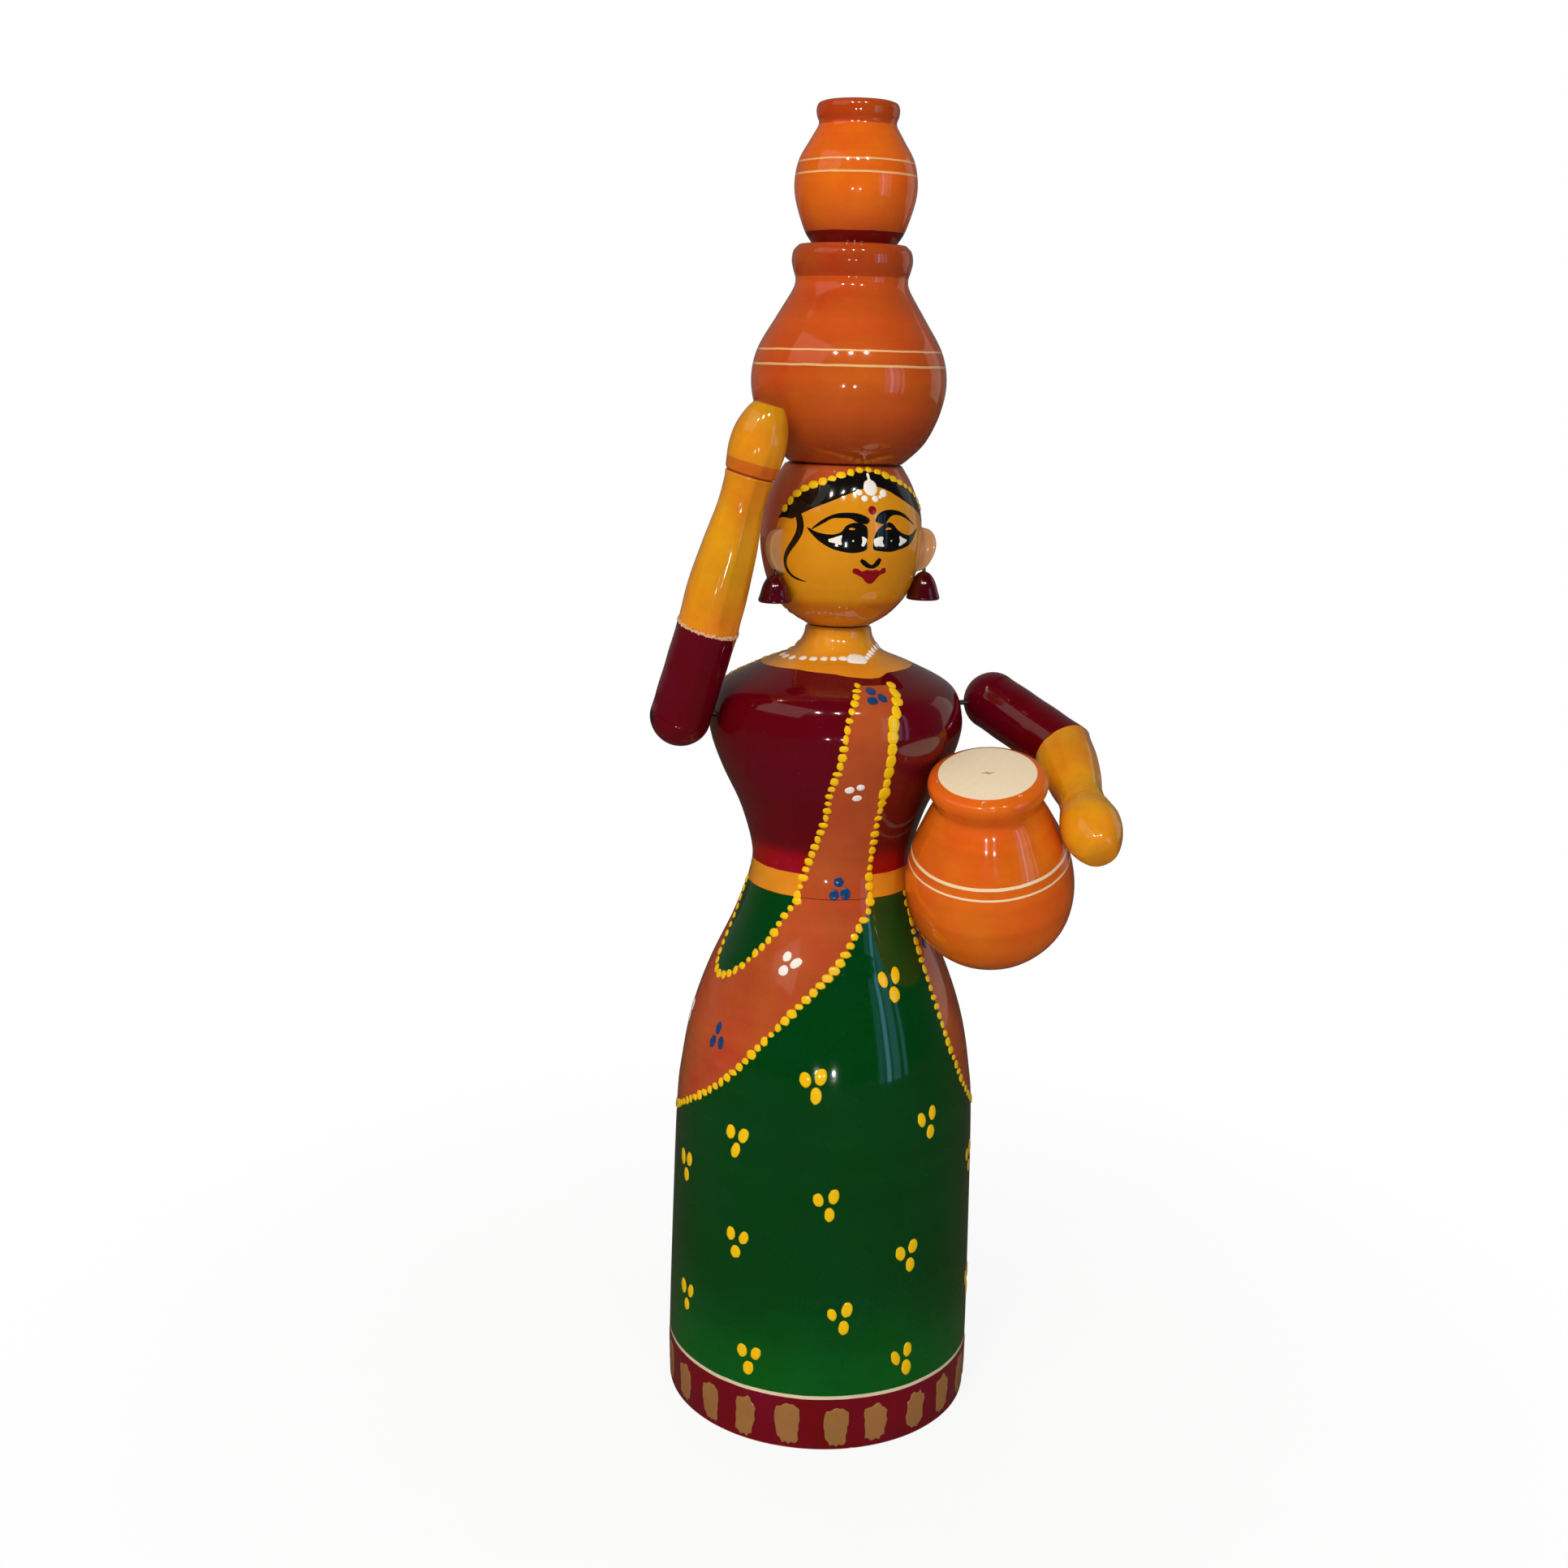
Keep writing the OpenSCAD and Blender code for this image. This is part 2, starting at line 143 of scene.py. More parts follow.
class Turning:
    """Outline of a turned piece in mm, and where its axis stands."""

    def __init__(self, rows, place=Matrix.Identity(4)):
        rows = np.asarray(rows, float)
        self.place = place
        self.keys = rows
        fine = [rows[0]]
        last = len(rows) - 1
        for i in range(last):
            a, b, c, d = rows[max(i - 1, 0)], rows[i], rows[i + 1], rows[min(i + 2, last)]
            steps = max(1, int(math.ceil(np.linalg.norm(c - b) / RING_STEP)))
            for k in range(1, steps + 1):
                fine.append(curve_point(a, b, c, d, k / steps))
        fine = np.array(fine)
        fine[:, 0] = np.maximum(fine[:, 0], 0.02)
        self.r, self.z = fine[:, 0], fine[:, 1]
        step = np.hypot(np.diff(self.r), np.diff(self.z))
        self.s = np.concatenate([[0], np.cumsum(step)])
        slope_r, slope_z = np.gradient(self.r, self.s), np.gradient(self.z, self.s)
        size = np.hypot(slope_r, slope_z)
        self.nr, self.nz = slope_z / size, -slope_r / size

    @classmethod
    def of(cls, node, place=Matrix.Identity(4), low=-1e9, high=1e9):
        """Reads the outer rings of a turned CAD node, between two heights along its axis."""
        turn = np.array(place.inverted())
        co = np.array([v.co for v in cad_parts[node].data.vertices])
        co = (co @ turn[:3, :3].T + turn[:3, 3]) / MM
        r, z = np.hypot(co[:, 0], co[:, 1]), co[:, 2]
        order = np.argsort(z)
        r, z = r[order], z[order]
        rings = []
        for part in np.split(np.arange(len(z)), np.flatnonzero(np.diff(z) > RING_APART) + 1):
            if len(part) >= RING_VERTICES and low <= z[part[0]] <= high:
                rings.append((r[part].max(), z[part].mean()))
        rings = np.array(rings)
        kept = [row for row in rings
                if row[0] > BORE_SHARE * rings[np.abs(rings[:, 1] - row[1]) < NEAR][:, 0].max()]
        return cls(kept, place)

    def along(self, z):
        """Length along the outline at a height."""
        return np.interp(z, self.z, self.s)

    def radius(self, z):
        return np.interp(z, self.z, self.r)

    def point(self, turn, s, lift=0.0):
        """Point `lift` mm off the outline, at degrees round from the front (-Y) and a length along it."""
        r, z = np.interp(s, self.s, self.r), np.interp(s, self.s, self.z)
        nr, nz = np.interp(s, self.s, self.nr), np.interp(s, self.s, self.nz)
        a = math.radians(turn)
        out = Vector((math.sin(a) * (r + nr * lift), -math.cos(a) * (r + nr * lift), z + nz * lift)) * MM
        return self.place @ out

    def normal(self, turn, s):
        nr, nz = np.interp(s, self.s, self.nr), np.interp(s, self.s, self.nz)
        a = math.radians(turn)
        return (self.place.to_3x3() @ Vector((math.sin(a) * nr, -math.cos(a) * nr, nz))).normalized()


def lathe(turning, name, spokes=SPOKES, shape=None):
    """Closed mesh of a turning, with UVs in turns and mm and the height along its axis as an attribute.
    `shape` may change each ring: it gets (radii, angles, s, z) and returns radii."""
    rings = len(turning.s)
    angle = np.arange(spokes) / spokes * 2 * math.pi
    co = np.zeros((rings, spokes, 3))
    for i in range(rings):
        radii = np.full(spokes, turning.r[i])
        if shape:
            radii = shape(radii, angle, turning.s[i], turning.z[i])
        co[i, :, 0], co[i, :, 1], co[i, :, 2] = np.sin(angle) * radii, -np.cos(angle) * radii, turning.z[i]
    ends = [(0, 0, turning.z[0]), (0, 0, turning.z[-1])]
    co = np.concatenate([co.reshape(-1, 3), ends]) * MM
    turn = np.array(turning.place)
    co = co @ turn[:3, :3].T + turn[:3, 3]
    faces, caps = [], []
    for i in range(rings - 1):
        a, b = i * spokes, (i + 1) * spokes
        for j in range(spokes):
            k = (j + 1) % spokes
            faces.append((a + j, a + k, b + k, b + j))
    low, high, top = rings * spokes, rings * spokes + 1, (rings - 1) * spokes
    for j in range(spokes):
        k = (j + 1) % spokes
        caps.append((low, k, j))
        caps.append((high, top + j, top + k))
    mesh = bpy.data.meshes.new(name)
    mesh.from_pydata(co.tolist(), [], faces + caps)
    height = mesh.attributes.new("along", "FLOAT", "POINT")
    values = np.concatenate([np.repeat(turning.z, spokes), [turning.z[0], turning.z[-1]]])
    height.data.foreach_set("value", values.astype(np.float32))
    uv = mesh.uv_layers.new(name="turned")
    flat = np.zeros((len(mesh.loops), 2), np.float32)
    loops = np.zeros(len(mesh.loops), np.int32)
    mesh.loops.foreach_get("vertex_index", loops)
    ring = np.minimum(loops // spokes, rings - 1)
    flat[:, 1] = turning.s[ring] / 100
    turns = (loops % spokes) / spokes
    wrapped = np.zeros(len(loops), bool)
    for f, poly in enumerate(mesh.polygons):
        if f < len(faces) and f % spokes == spokes - 1:
            for loop in poly.loop_indices:
                wrapped[loop] = loops[loop] % spokes == 0
    flat[:, 0] = turns + wrapped
    uv.data.foreach_set("uv", flat.ravel())
    for f in range(len(faces), len(faces) + len(caps)):
        mesh.polygons[f].material_index = 1
    return mesh


def mesh_of(bm, name):
    """Mesh of a finished bmesh, its faces turned outwards."""
    bmesh.ops.recalc_face_normals(bm, faces=bm.faces)
    mesh = bpy.data.meshes.new(name)
    bm.to_mesh(mesh)
    bm.free()
    return mesh


def bridge(bm, rows):
    """Joins each ring of vertices to the next one with four-sided faces."""
    for a, b in zip(rows, rows[1:]):
        for k in range(len(a)):
            m = (k + 1) % len(a)
            bm.faces.new((a[k], a[m], b[m], b[k]))


def finish_mesh(mesh, name, materials, body, replaces=(), sharp=40):
    """Turns a mesh into a shaded piece that rides on a body."""
    for material in materials:
        mesh.materials.append(material)
    mesh.shade_smooth()
    mesh.set_sharp_from_angle(angle=math.radians(sharp))
    obj = bpy.data.objects.new(name, mesh)
    bpy.context.scene.collection.objects.link(obj)
    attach(obj, body)
    if replaces:
        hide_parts(*replaces)
    return obj


# ---- Painted regions: signed distance in mm from each vertex to a region's edge ----


def smooth_loop(points, steps=6, closed=True):
    """Smooth curve through key points."""
    keys = [np.asarray(p, float) for p in points]
    n = len(keys)
    out = []
    for i in range(n if closed else n - 1):
        if closed:
            a, b, c, d = keys[i - 1], keys[i], keys[(i + 1) % n], keys[(i + 2) % n]
        else:
            a, b, c, d = keys[max(i - 1, 0)], keys[i], keys[i + 1], keys[min(i + 2, n - 1)]
        for k in range(steps):
            out.append(curve_point(a, b, c, d, k / steps))
    if not closed:
        out.append(keys[-1])
    return out


def signed_distance(points, outline):
    """Distance from points to a closed outline, positive inside. `points` is (n, 2) and so is `outline`."""
    a, b = outline, np.roll(outline, -1, axis=0)
    best = np.full(len(points), 1e9)
    inside = np.zeros(len(points), bool)
    for p, q in zip(a, b):
        d = q - p
        size = d @ d
        if size < 1e-12:
            continue
        t = np.clip(((points - p) @ d) / size, 0, 1)
        best = np.minimum(best, np.hypot(*(points - p - t[:, None] * d).T))
        crosses = (p[1] > points[:, 1]) != (q[1] > points[:, 1])
        if abs(d[1]) > 1e-12:
            inside ^= crosses & (points[:, 0] < (points[:, 1] - p[1]) / d[1] * d[0] + p[0])
    return np.where(inside, best, -best)


def add_region(mesh, turning, name, outlines, holes=(), spokes=SPOKES):
    """Stores how deep each vertex is inside a painted region. Outlines are (degrees, height) key points."""
    rings = len(turning.s)
    turn = (np.arange(spokes) / spokes * 360 + 180) % 360 - 180
    field = np.full((rings, spokes), -1e3)

    def depth(points):
        loop = np.array(points)
        loop = np.column_stack([loop[:, 0], np.interp(loop[:, 1], turning.z, turning.s,
                                                      left=-20, right=turning.s[-1] + 20)])
        out = np.full((rings, spokes), -1e3)
        for i in range(rings):
            scale = math.radians(max(turning.r[i], 1.0))
            local = np.column_stack([loop[:, 0] * scale, loop[:, 1]])
            for shift in (-360, 0, 360):
                at = np.column_stack([(turn + shift) * scale, np.full(spokes, turning.s[i])])
                out[i] = np.maximum(out[i], signed_distance(at, local))
        return out

    for points in outlines:
        field = np.maximum(field, depth(points))
    for points in holes:
        field = np.minimum(field, -depth(points))
    attribute = mesh.attributes.new(name, "FLOAT", "POINT")
    values = np.concatenate([field.ravel(), [field[0].mean(), field[-1].mean()]])
    attribute.data.foreach_set("value", values.astype(np.float32))


# ---- Shader building ----


def add(tree, kind, **settings):
    node = tree.nodes.new(kind)
    for key, value in settings.items():
        setattr(node, key, value)
    return node


def feed(tree, socket, value):
    if isinstance(value, bpy.types.NodeSocket):
        tree.links.new(value, socket)
    else:
        socket.default_value = value


def calc(tree, operation, *values, clamp=False):
    node = add(tree, "ShaderNodeMath", operation=operation, use_clamp=clamp)
    for socket, value in zip(node.inputs, values):
        feed(tree, socket, value)
    return node.outputs[0]


def blend_colour(tree, factor, below, above):
    node = add(tree, "ShaderNodeMix", data_type="RGBA")
    feed(tree, node.inputs[0], factor)
    feed(tree, node.inputs[6], below)
    feed(tree, node.inputs[7], above)
    return node.outputs[2]


def ramp(tree, value, low, high, start=0.0, end=1.0):
    node = add(tree, "ShaderNodeMapRange", interpolation_type="SMOOTHSTEP", clamp=True)
    for socket, v in zip(node.inputs, (value, low, high, start, end)):
        feed(tree, socket, v)
    return node.outputs[0]


def noise(tree, scale, detail=2.0, roughness=0.5, flat=None):
    node = add(tree, "ShaderNodeTexNoise", noise_dimensions="1D" if flat is not None else "3D")
    node.inputs["Scale"].default_value = scale
    node.inputs["Detail"].default_value = detail
    node.inputs["Roughness"].default_value = roughness
    if flat is not None:
        feed(tree, node.inputs["W"], flat)
    else:
        place = add(tree, "ShaderNodeTexCoord")
        tree.links.new(place.outputs["Object"], node.inputs["Vector"])
    return node.outputs["Fac"]


def shader_group(name, inputs, outputs, build):
    """A shader node group with named inputs and outputs, built once."""
    tree = bpy.data.node_groups.get(name)
    if tree:
        return tree
    tree = bpy.data.node_groups.new(name, "ShaderNodeTree")
    kinds = {"colour": "NodeSocketColor", "value": "NodeSocketFloat"}
    for label, kind, value in inputs:
        socket = tree.interface.new_socket(name=label, in_out="INPUT", socket_type=kinds[kind])
        socket.default_value = value
    for label, kind in outputs:
        tree.interface.new_socket(name=label, in_out="OUTPUT", socket_type=kinds[kind])
    source, sink = add(tree, "NodeGroupInput"), add(tree, "NodeGroupOutput")
    for label, value in build(tree, source.outputs).items():
        feed(tree, sink.inputs[label], value)
    return tree


def place_group(tree, group, **values):
    node = add(tree, "ShaderNodeGroup")
    node.node_tree = group
    for label, value in values.items():
        feed(tree, node.inputs[label.replace("_", " ")], value)
    return node.outputs


def brushed_edge():
    """Mask of a painted region whose edge wanders as a brush does."""
    def build(tree, given):
        wander = calc(tree, "SUBTRACT", noise(tree, 230, 3), 0.5)
        depth = calc(tree, "MULTIPLY_ADD", wander, given["Waver"], given["Depth"])
        return {"Mask": ramp(tree, depth, -0.05, 0.05)}
    return shader_group("Brushed edge", [("Depth", "value", 0.0), ("Waver", "value", 0.4)],
                        [("Mask", "value")], build)


def turned_line():
    """Mask of a thin line painted round a turned piece at a height in mm."""
    def build(tree, given):
        wander = calc(tree, "SUBTRACT", noise(tree, 120, 2), 0.5)
        height = calc(tree, "MULTIPLY_ADD", wander, given["Waver"], given["Along"])
        off = calc(tree, "ABSOLUTE", calc(tree, "SUBTRACT", height, given["Centre"]))
        depth = calc(tree, "SUBTRACT", calc(tree, "MULTIPLY", given["Width"], 0.5), off)
        return {"Mask": ramp(tree, depth, -0.06, 0.06)}
    return shader_group("Turned line",
                        [("Along", "value", 0.0), ("Centre", "value", 0.0), ("Width", "value", 0.8),
                                        ("Waver", "value", 0.3)], [("Mask", "value")], build)


def lacquer_coat():
    """Unevenness of hand-rubbed lacquer over turned wood: cloudy colour, faint lathe rings, dust specks."""
    def build(tree, given):
        cloud = noise(tree, 34, 4, 0.6)
        fine = noise(tree, 420, 3, 0.6)
        rings = noise(tree, 0.16, 4, 0.5, flat=given["Along"])
        tone = calc(tree, "MULTIPLY_ADD", calc(tree, "SUBTRACT", cloud, 0.5), given["Mottle"], 1.0)
        tone = calc(tree, "MULTIPLY_ADD", calc(tree, "SUBTRACT", rings, 0.5), given["Rings"], tone)
        tone = calc(tree, "MULTIPLY_ADD", calc(tree, "SUBTRACT", fine, 0.5), 0.10, tone)
        bright = add(tree, "ShaderNodeHueSaturation")
        drift = calc(tree, "SUBTRACT", 0.5, noise(tree, 48, 3, 0.6))
        drift = calc(tree, "MULTIPLY", drift, given["Mottle"])
        feed(tree, bright.inputs["Hue"], calc(tree, "MULTIPLY_ADD", drift, 0.07, 0.5))
        feed(tree, bright.inputs["Value"], tone)
        feed(tree, bright.inputs["Color"], given["Colour"])
        speck = ramp(tree, noise(tree, 1500, 0), 0.80, 0.86)
        rough = calc(tree, "MULTIPLY_ADD", calc(tree, "SUBTRACT", cloud, 0.45), 0.16, given["Gloss"])
        rough = calc(tree, "MULTIPLY_ADD", speck, 0.2, rough, clamp=True)
        height = calc(tree, "MULTIPLY", noise(tree, 70, 2), given["Lumps"])
        height = calc(tree, "MULTIPLY_ADD", rings, given["Relief"], height)
        height = calc(tree, "MULTIPLY_ADD", fine, 0.02, height)
        height = calc(tree, "MULTIPLY_ADD", speck, 0.12, height)
        return {"Colour": bright.outputs["Color"], "Roughness": rough, "Height": height}
    return shader_group("Lacquer coat", [("Colour", "colour", (1, 1, 1, 1)), ("Along", "value", 0.0),
                                         ("Mottle", "value", 0.3), ("Rings", "value", 0.12),
                                         ("Relief", "value", 0.1),
                                         ("Lumps", "value", 0.45), ("Gloss", "value", 0.13)],
                        [("Colour", "colour"), ("Roughness", "value"), ("Height", "value")], build)


def edge_chips():
    """Mask of small chips that show bare wood near a height in mm."""
    def build(tree, given):
        off = calc(tree, "ABSOLUTE", calc(tree, "SUBTRACT", given["Along"], given["Centre"]))
        near = ramp(tree, off, 0.0, given["Reach"], 1.0, 0.0)
        worn = calc(tree, "MULTIPLY_ADD", near, 0.34, noise(tree, 260, 4, 0.7))
        return {"Mask": ramp(tree, worn, given["Level"], calc(tree, "ADD", given["Level"], 0.02))}
    return shader_group("Edge chips",
                        [("Along", "value", 0.0), ("Centre", "value", 0.0), ("Reach", "value", 1.5),
                                       ("Level", "value", 0.86)], [("Mask", "value")], build)


def wood_grain():
    """Pale wood: long grain along one axis, growth rings and pores."""
    def build(tree, given):
        place = add(tree, "ShaderNodeTexCoord")
        stretch = add(tree, "ShaderNodeMapping")
        stretch.inputs["Scale"].default_value = (1, 1, 0.12)
        tree.links.new(place.outputs["Object"], stretch.inputs["Vector"])
        grain = add(tree, "ShaderNodeTexNoise")
        grain.inputs["Scale"].default_value = 620
        grain.inputs["Detail"].default_value = 5
        tree.links.new(stretch.outputs["Vector"], grain.inputs["Vector"])
        wide = add(tree, "ShaderNodeTexWave", wave_type="RINGS", rings_direction="Z")
        wide.inputs["Scale"].default_value = 110
        wide.inputs["Distortion"].default_value = 2.4
        tree.links.new(stretch.outputs["Vector"], wide.inputs["Vector"])
        mark = calc(tree, "ADD", calc(tree, "MULTIPLY", grain.outputs["Fac"], 0.7),
                    calc(tree, "MULTIPLY", wide.outputs["Fac"], 0.3))
        tone = calc(tree, "MULTIPLY", mark, given["Depth"])
        shade = blend_colour(tree, tone, given["Colour"], given["Grain"])
        return {"Colour": shade, "Roughness": ramp(tree, mark, 0.2, 0.8, 0.5, 0.72), "Height": mark}
    return shader_group("Wood grain",
                        [("Colour", "colour", (1, 1, 1, 1)), ("Grain", "colour", (0.4, 0.25, 0.1, 1)),
                                       ("Depth", "value", 0.35)],
                        [("Colour", "colour"), ("Roughness", "value"), ("Height", "value")], build)


def new_material(name):
    material = bpy.data.materials.new(name)
    material.use_nodes = True
    tree = material.node_tree
    return material, tree, tree.nodes["Principled BSDF"]


def attribute(tree, name):
    return add(tree, "ShaderNodeAttribute", attribute_name=name).outputs["Fac"]


def lacquered(name, base, layers=(), coat=0.55, mottle=0.3, rings=0.12, relief=0.1, turned=True, metal=0.0,
              lumps=0.5):
    """Glossy enamel. Layers are painted in order. Each is ("region", attribute, colour),
    ("line", centre, width, colour), ("above", height, colour), ("below", height, colour),
    ("tint_and_light_ramp", low, high, colour) or ("chips", centre, level). A ramp lays its colour in full
    below `low` and thins it out by `high`; on most pieces it is painted shade or a painted reflection."""
    material, tree, shader = new_material(name)
    along = attribute(tree, "along") if turned else 0.0
    waver = sizes().waver * 2
    shade = (*base, 1)
    for layer in layers:
        kind = layer[0]
        if kind == "region":
            mask = place_group(tree, brushed_edge(), Depth=attribute(tree, layer[1]), Waver=waver)["Mask"]
        elif kind == "line":
            mask = place_group(tree, turned_line(), Along=along, Centre=layer[1], Width=layer[2],
                               Waver=0.35)["Mask"]
        elif kind in ("above", "below"):
            ends = (along, layer[1]) if kind == "above" else (layer[1], along)
            past = calc(tree, "SUBTRACT", *ends)
            mask = place_group(tree, brushed_edge(), Depth=past, Waver=waver)["Mask"]
        # Ramp of a colour along the axis: painted shade or a painted reflection on most pieces, a real tint
        # on the bodice
        elif kind == "tint_and_light_ramp":
            mask = ramp(tree, along, layer[1], layer[2], 1.0, 0.0)
        else:
            mask = place_group(tree, edge_chips(), Along=along, Centre=layer[1], Level=layer[2])["Mask"]
            layer = (*layer, paint("wood"))
        shade = blend_colour(tree, mask, shade, (*layer[-1], 1))
    out = place_group(tree, lacquer_coat(), Colour=shade, Along=along, Mottle=mottle, Rings=rings,
                      Relief=relief, Lumps=lumps, Gloss=sizes().gloss)
    tree.links.new(out["Colour"], shader.inputs["Base Color"])
    tree.links.new(out["Roughness"], shader.inputs["Roughness"])
    bump = add(tree, "ShaderNodeBump")
    bump.inputs["Strength"].default_value = 0.5
    bump.inputs["Distance"].default_value = 0.0003
    tree.links.new(out["Height"], bump.inputs["Height"])
    tree.links.new(bump.outputs["Normal"], shader.inputs["Normal"])
    shader.inputs["Metallic"].default_value = metal
    shader.inputs["Coat Weight"].default_value = coat
    shader.inputs["Coat Roughness"].default_value = 0.025
    return material


def bare_wood(name, grain=0.35):
    material, tree, shader = new_material(name)
    out = place_group(tree, wood_grain(), Colour=(*paint("wood"), 1), Grain=(*rgb(176, 130, 84), 1),
                      Depth=grain)
    tree.links.new(out["Colour"], shader.inputs["Base Color"])
    tree.links.new(out["Roughness"], shader.inputs["Roughness"])
    bump = add(tree, "ShaderNodeBump")
    bump.inputs["Strength"].default_value = 0.35
    bump.inputs["Distance"].default_value = 0.0002
    tree.links.new(out["Height"], bump.inputs["Height"])
    tree.links.new(bump.outputs["Normal"], shader.inputs["Normal"])
    return material


def nail_steel(name):
    """Dark drawn steel with a little rust."""
    material, tree, shader = new_material(name)
    rust = ramp(tree, noise(tree, 900, 4, 0.7), 0.52, 0.7)
    shade = blend_colour(tree, rust, (*rgb(120, 116, 112), 1), (*rgb(92, 52, 30), 1))
    tree.links.new(shade, shader.inputs["Base Color"])
    tree.links.new(ramp(tree, rust, 0, 1, 0.32, 0.75), shader.inputs["Roughness"])
    tree.links.new(ramp(tree, rust, 0, 1, 1.0, 0.2), shader.inputs["Metallic"])
    return material


def material_once(key, make, *values, **named):
    """One material for each name, made when it is first needed."""
    found = bpy.data.materials.get(key)
    return found or make(key, *values, **named)


def enamel(key, colour_name, **named):
    return material_once(key, lambda name: lacquered(name, paint(colour_name), turned=False, **named))


# ---- Brushed shapes that stand a little off a turned surface ----


def film(bm, turning, outline, lift, step=0.9, smooth=5, sink=0.12):
    """Adds a closed brushed shape to a bmesh. The outline is (degrees, height) key points."""
    loop = np.array(smooth_loop(outline, smooth) if smooth else outline)
    s = turning.along(loop[:, 1])
    scale = math.radians(float(np.mean(turning.radius(loop[:, 1]))))
    flat = np.column_stack([loop[:, 0] * scale, s])
    xs = np.arange(flat[:, 0].min(), flat[:, 0].max(), step)
    ys = np.arange(flat[:, 1].min(), flat[:, 1].max(), step)
    grid = np.array([(x, y) for x in xs for y in ys])
    if len(grid):
        grid = grid[signed_distance(grid, flat) > 0.3 * step]
    points = [Vector(p) for p in flat] + [Vector(p) for p in grid]
    ring = list(range(len(flat)))
    verts, _, faces, *_ = delaunay_2d_cdt(points, [], [ring], 1, 1e-5)
    rim = signed_distance(np.array([tuple(v) for v in verts]), flat)
    low, high = [], []
    for v, depth in zip(verts, rim):
        share = min(1.0, 0.45 + max(depth, 0.0) / 0.3)
        turn = v.x / scale
        high.append(bm.verts.new(turning.point(turn, v.y, lift * share)))
        low.append(bm.verts.new(turning.point(turn, v.y, -sink)))
    edges = {}
    for face in faces:
        bm.faces.new([high[i] for i in face])
        bm.faces.new([low[i] for i in reversed(face)])
        for i, a in enumerate(face):
            edges[(a, face[(i + 1) % len(face)])] = True
    for a, b in edges:
        if (b, a) not in edges:
            bm.faces.new((low[a], low[b], high[b], high[a]))


def stroke(points):
    """Outline in (degrees, height) of a brush stroke through (degrees, height, width in mm) points."""
    path = np.array(smooth_loop(points, 5, closed=False))
    scale = math.radians(FACE_R)
    xy = np.column_stack([path[:, 0] * scale, path[:, 1]])
    d = np.gradient(xy, axis=0)
    d /= np.hypot(d[:, 0], d[:, 1])[:, None]
    side = np.column_stack([-d[:, 1], d[:, 0]]) * (path[:, 2] / 2)[:, None]
    left, right = xy + side, xy - side
    loop = np.concatenate([right, left[::-1]])
    return np.column_stack([loop[:, 0] / scale, loop[:, 1]])


def film_piece(name, turning, shapes, material, lift=None, **named):
    """One piece made of brushed shapes. A shape is an outline, or ("stroke", points)."""
    bm = bmesh.new()
    off = (lift or sizes().film) / MM
    for shape in shapes:
        if isinstance(shape, tuple) and shape[0] == "stroke":
            film(bm, turning, stroke(shape[1]), off, smooth=0, **named)
        else:
            film(bm, turning, shape, off, **named)
    bmesh.ops.remove_doubles(bm, verts=bm.verts, dist=1e-8)
    return finish_mesh(mesh_of(bm, name), name, [material], FIGURE, sharp=50)


def ellipse(turn, z, wide, high, radius, lean=0.0, count=14):
    """Outline in (degrees, height) of an oval dab, sizes in mm."""
    scale = math.radians(radius)
    c, s = math.cos(math.radians(lean)), math.sin(math.radians(lean))
    out = []
    for k in range(count):
        a = 2 * math.pi * k / count
        x, y = wide * math.cos(a), high * math.sin(a)
        out.append((turn + (x * c - y * s) / scale, z + x * s + y * c))
    return out


# ---- Dabs and beads by geometry nodes ----


def dab_shapes(name, sides, wobble, rows, seed, square=2.0):
    """Four closed dabs of unit radius on +Z, with a hand-made outline, as a collection of their own.
    `square` above 2 fills out the corners."""
    found = bpy.data.collections.get(name)
    if found:
        return found
    group = bpy.data.collections.new(name)
    rng = random.Random(seed)
    for index in range(4):
        edge = []
        for k in range(sides):
            a = 2 * math.pi * k / sides
            corner = (abs(math.cos(a)) ** square + abs(math.sin(a)) ** square) ** (-1 / square)
            edge.append(corner * (1 + wobble * rng.uniform(-1, 1)))
        verts, faces = [], []
        for share, height in rows:
            for k in range(sides):
                a = 2 * math.pi * k / sides
                verts.append((share * edge[k] * math.cos(a), share * edge[k] * math.sin(a), height))
        for row in range(len(rows) - 1):
            a, b = row * sides, (row + 1) * sides
            faces += [(a + k, a + (k + 1) % sides, b + (k + 1) % sides, b + k) for k in range(sides)]
        faces.append(tuple(reversed(range(sides))))
        top = (len(rows) - 1) * sides
        verts.append((0, 0, rows[-1][1]))
        faces += [(top + k, top + (k + 1) % sides, len(verts) - 1) for k in range(sides)]
        mesh = bpy.data.meshes.new(f"{name}_{index}")
        mesh.from_pydata(verts, [], faces)
        mesh.shade_smooth()
        group.objects.link(bpy.data.objects.new(f"{name}_{index}", mesh))
    return group


DOME = [(0.92, -0.6), (1.0, 0.0), (0.9, 0.5), (0.62, 0.86), (0.3, 1.0)]
FLAT_DAB = [(0.96, -1.2), (1.0, 0.1), (0.96, 0.8), (0.86, 1.0), (0.4, 1.0)]


def geometry_tree(name, inputs, build):
    tree = bpy.data.node_groups.get(name)
    if tree:
        return tree
    tree = bpy.data.node_groups.new(name, "GeometryNodeTree")
    tree.interface.new_socket(name="Geometry", in_out="INPUT", socket_type="NodeSocketGeometry")
    for label, kind, value in inputs:
        socket = tree.interface.new_socket(name=label, in_out="INPUT", socket_type="NodeSocket" + kind)
        if value is not None:
            socket.default_value = value
    tree.interface.new_socket(name="Geometry", in_out="OUTPUT", socket_type="NodeSocketGeometry")
    source, sink = add(tree, "NodeGroupInput"), add(tree, "NodeGroupOutput")
    feed(tree, sink.inputs["Geometry"], build(tree, source.outputs))
    return tree


def named_vector(tree, name):
    node = add(tree, "GeometryNodeInputNamedAttribute", data_type="FLOAT_VECTOR")
    node.inputs["Name"].default_value = name
    return node.outputs["Attribute"]


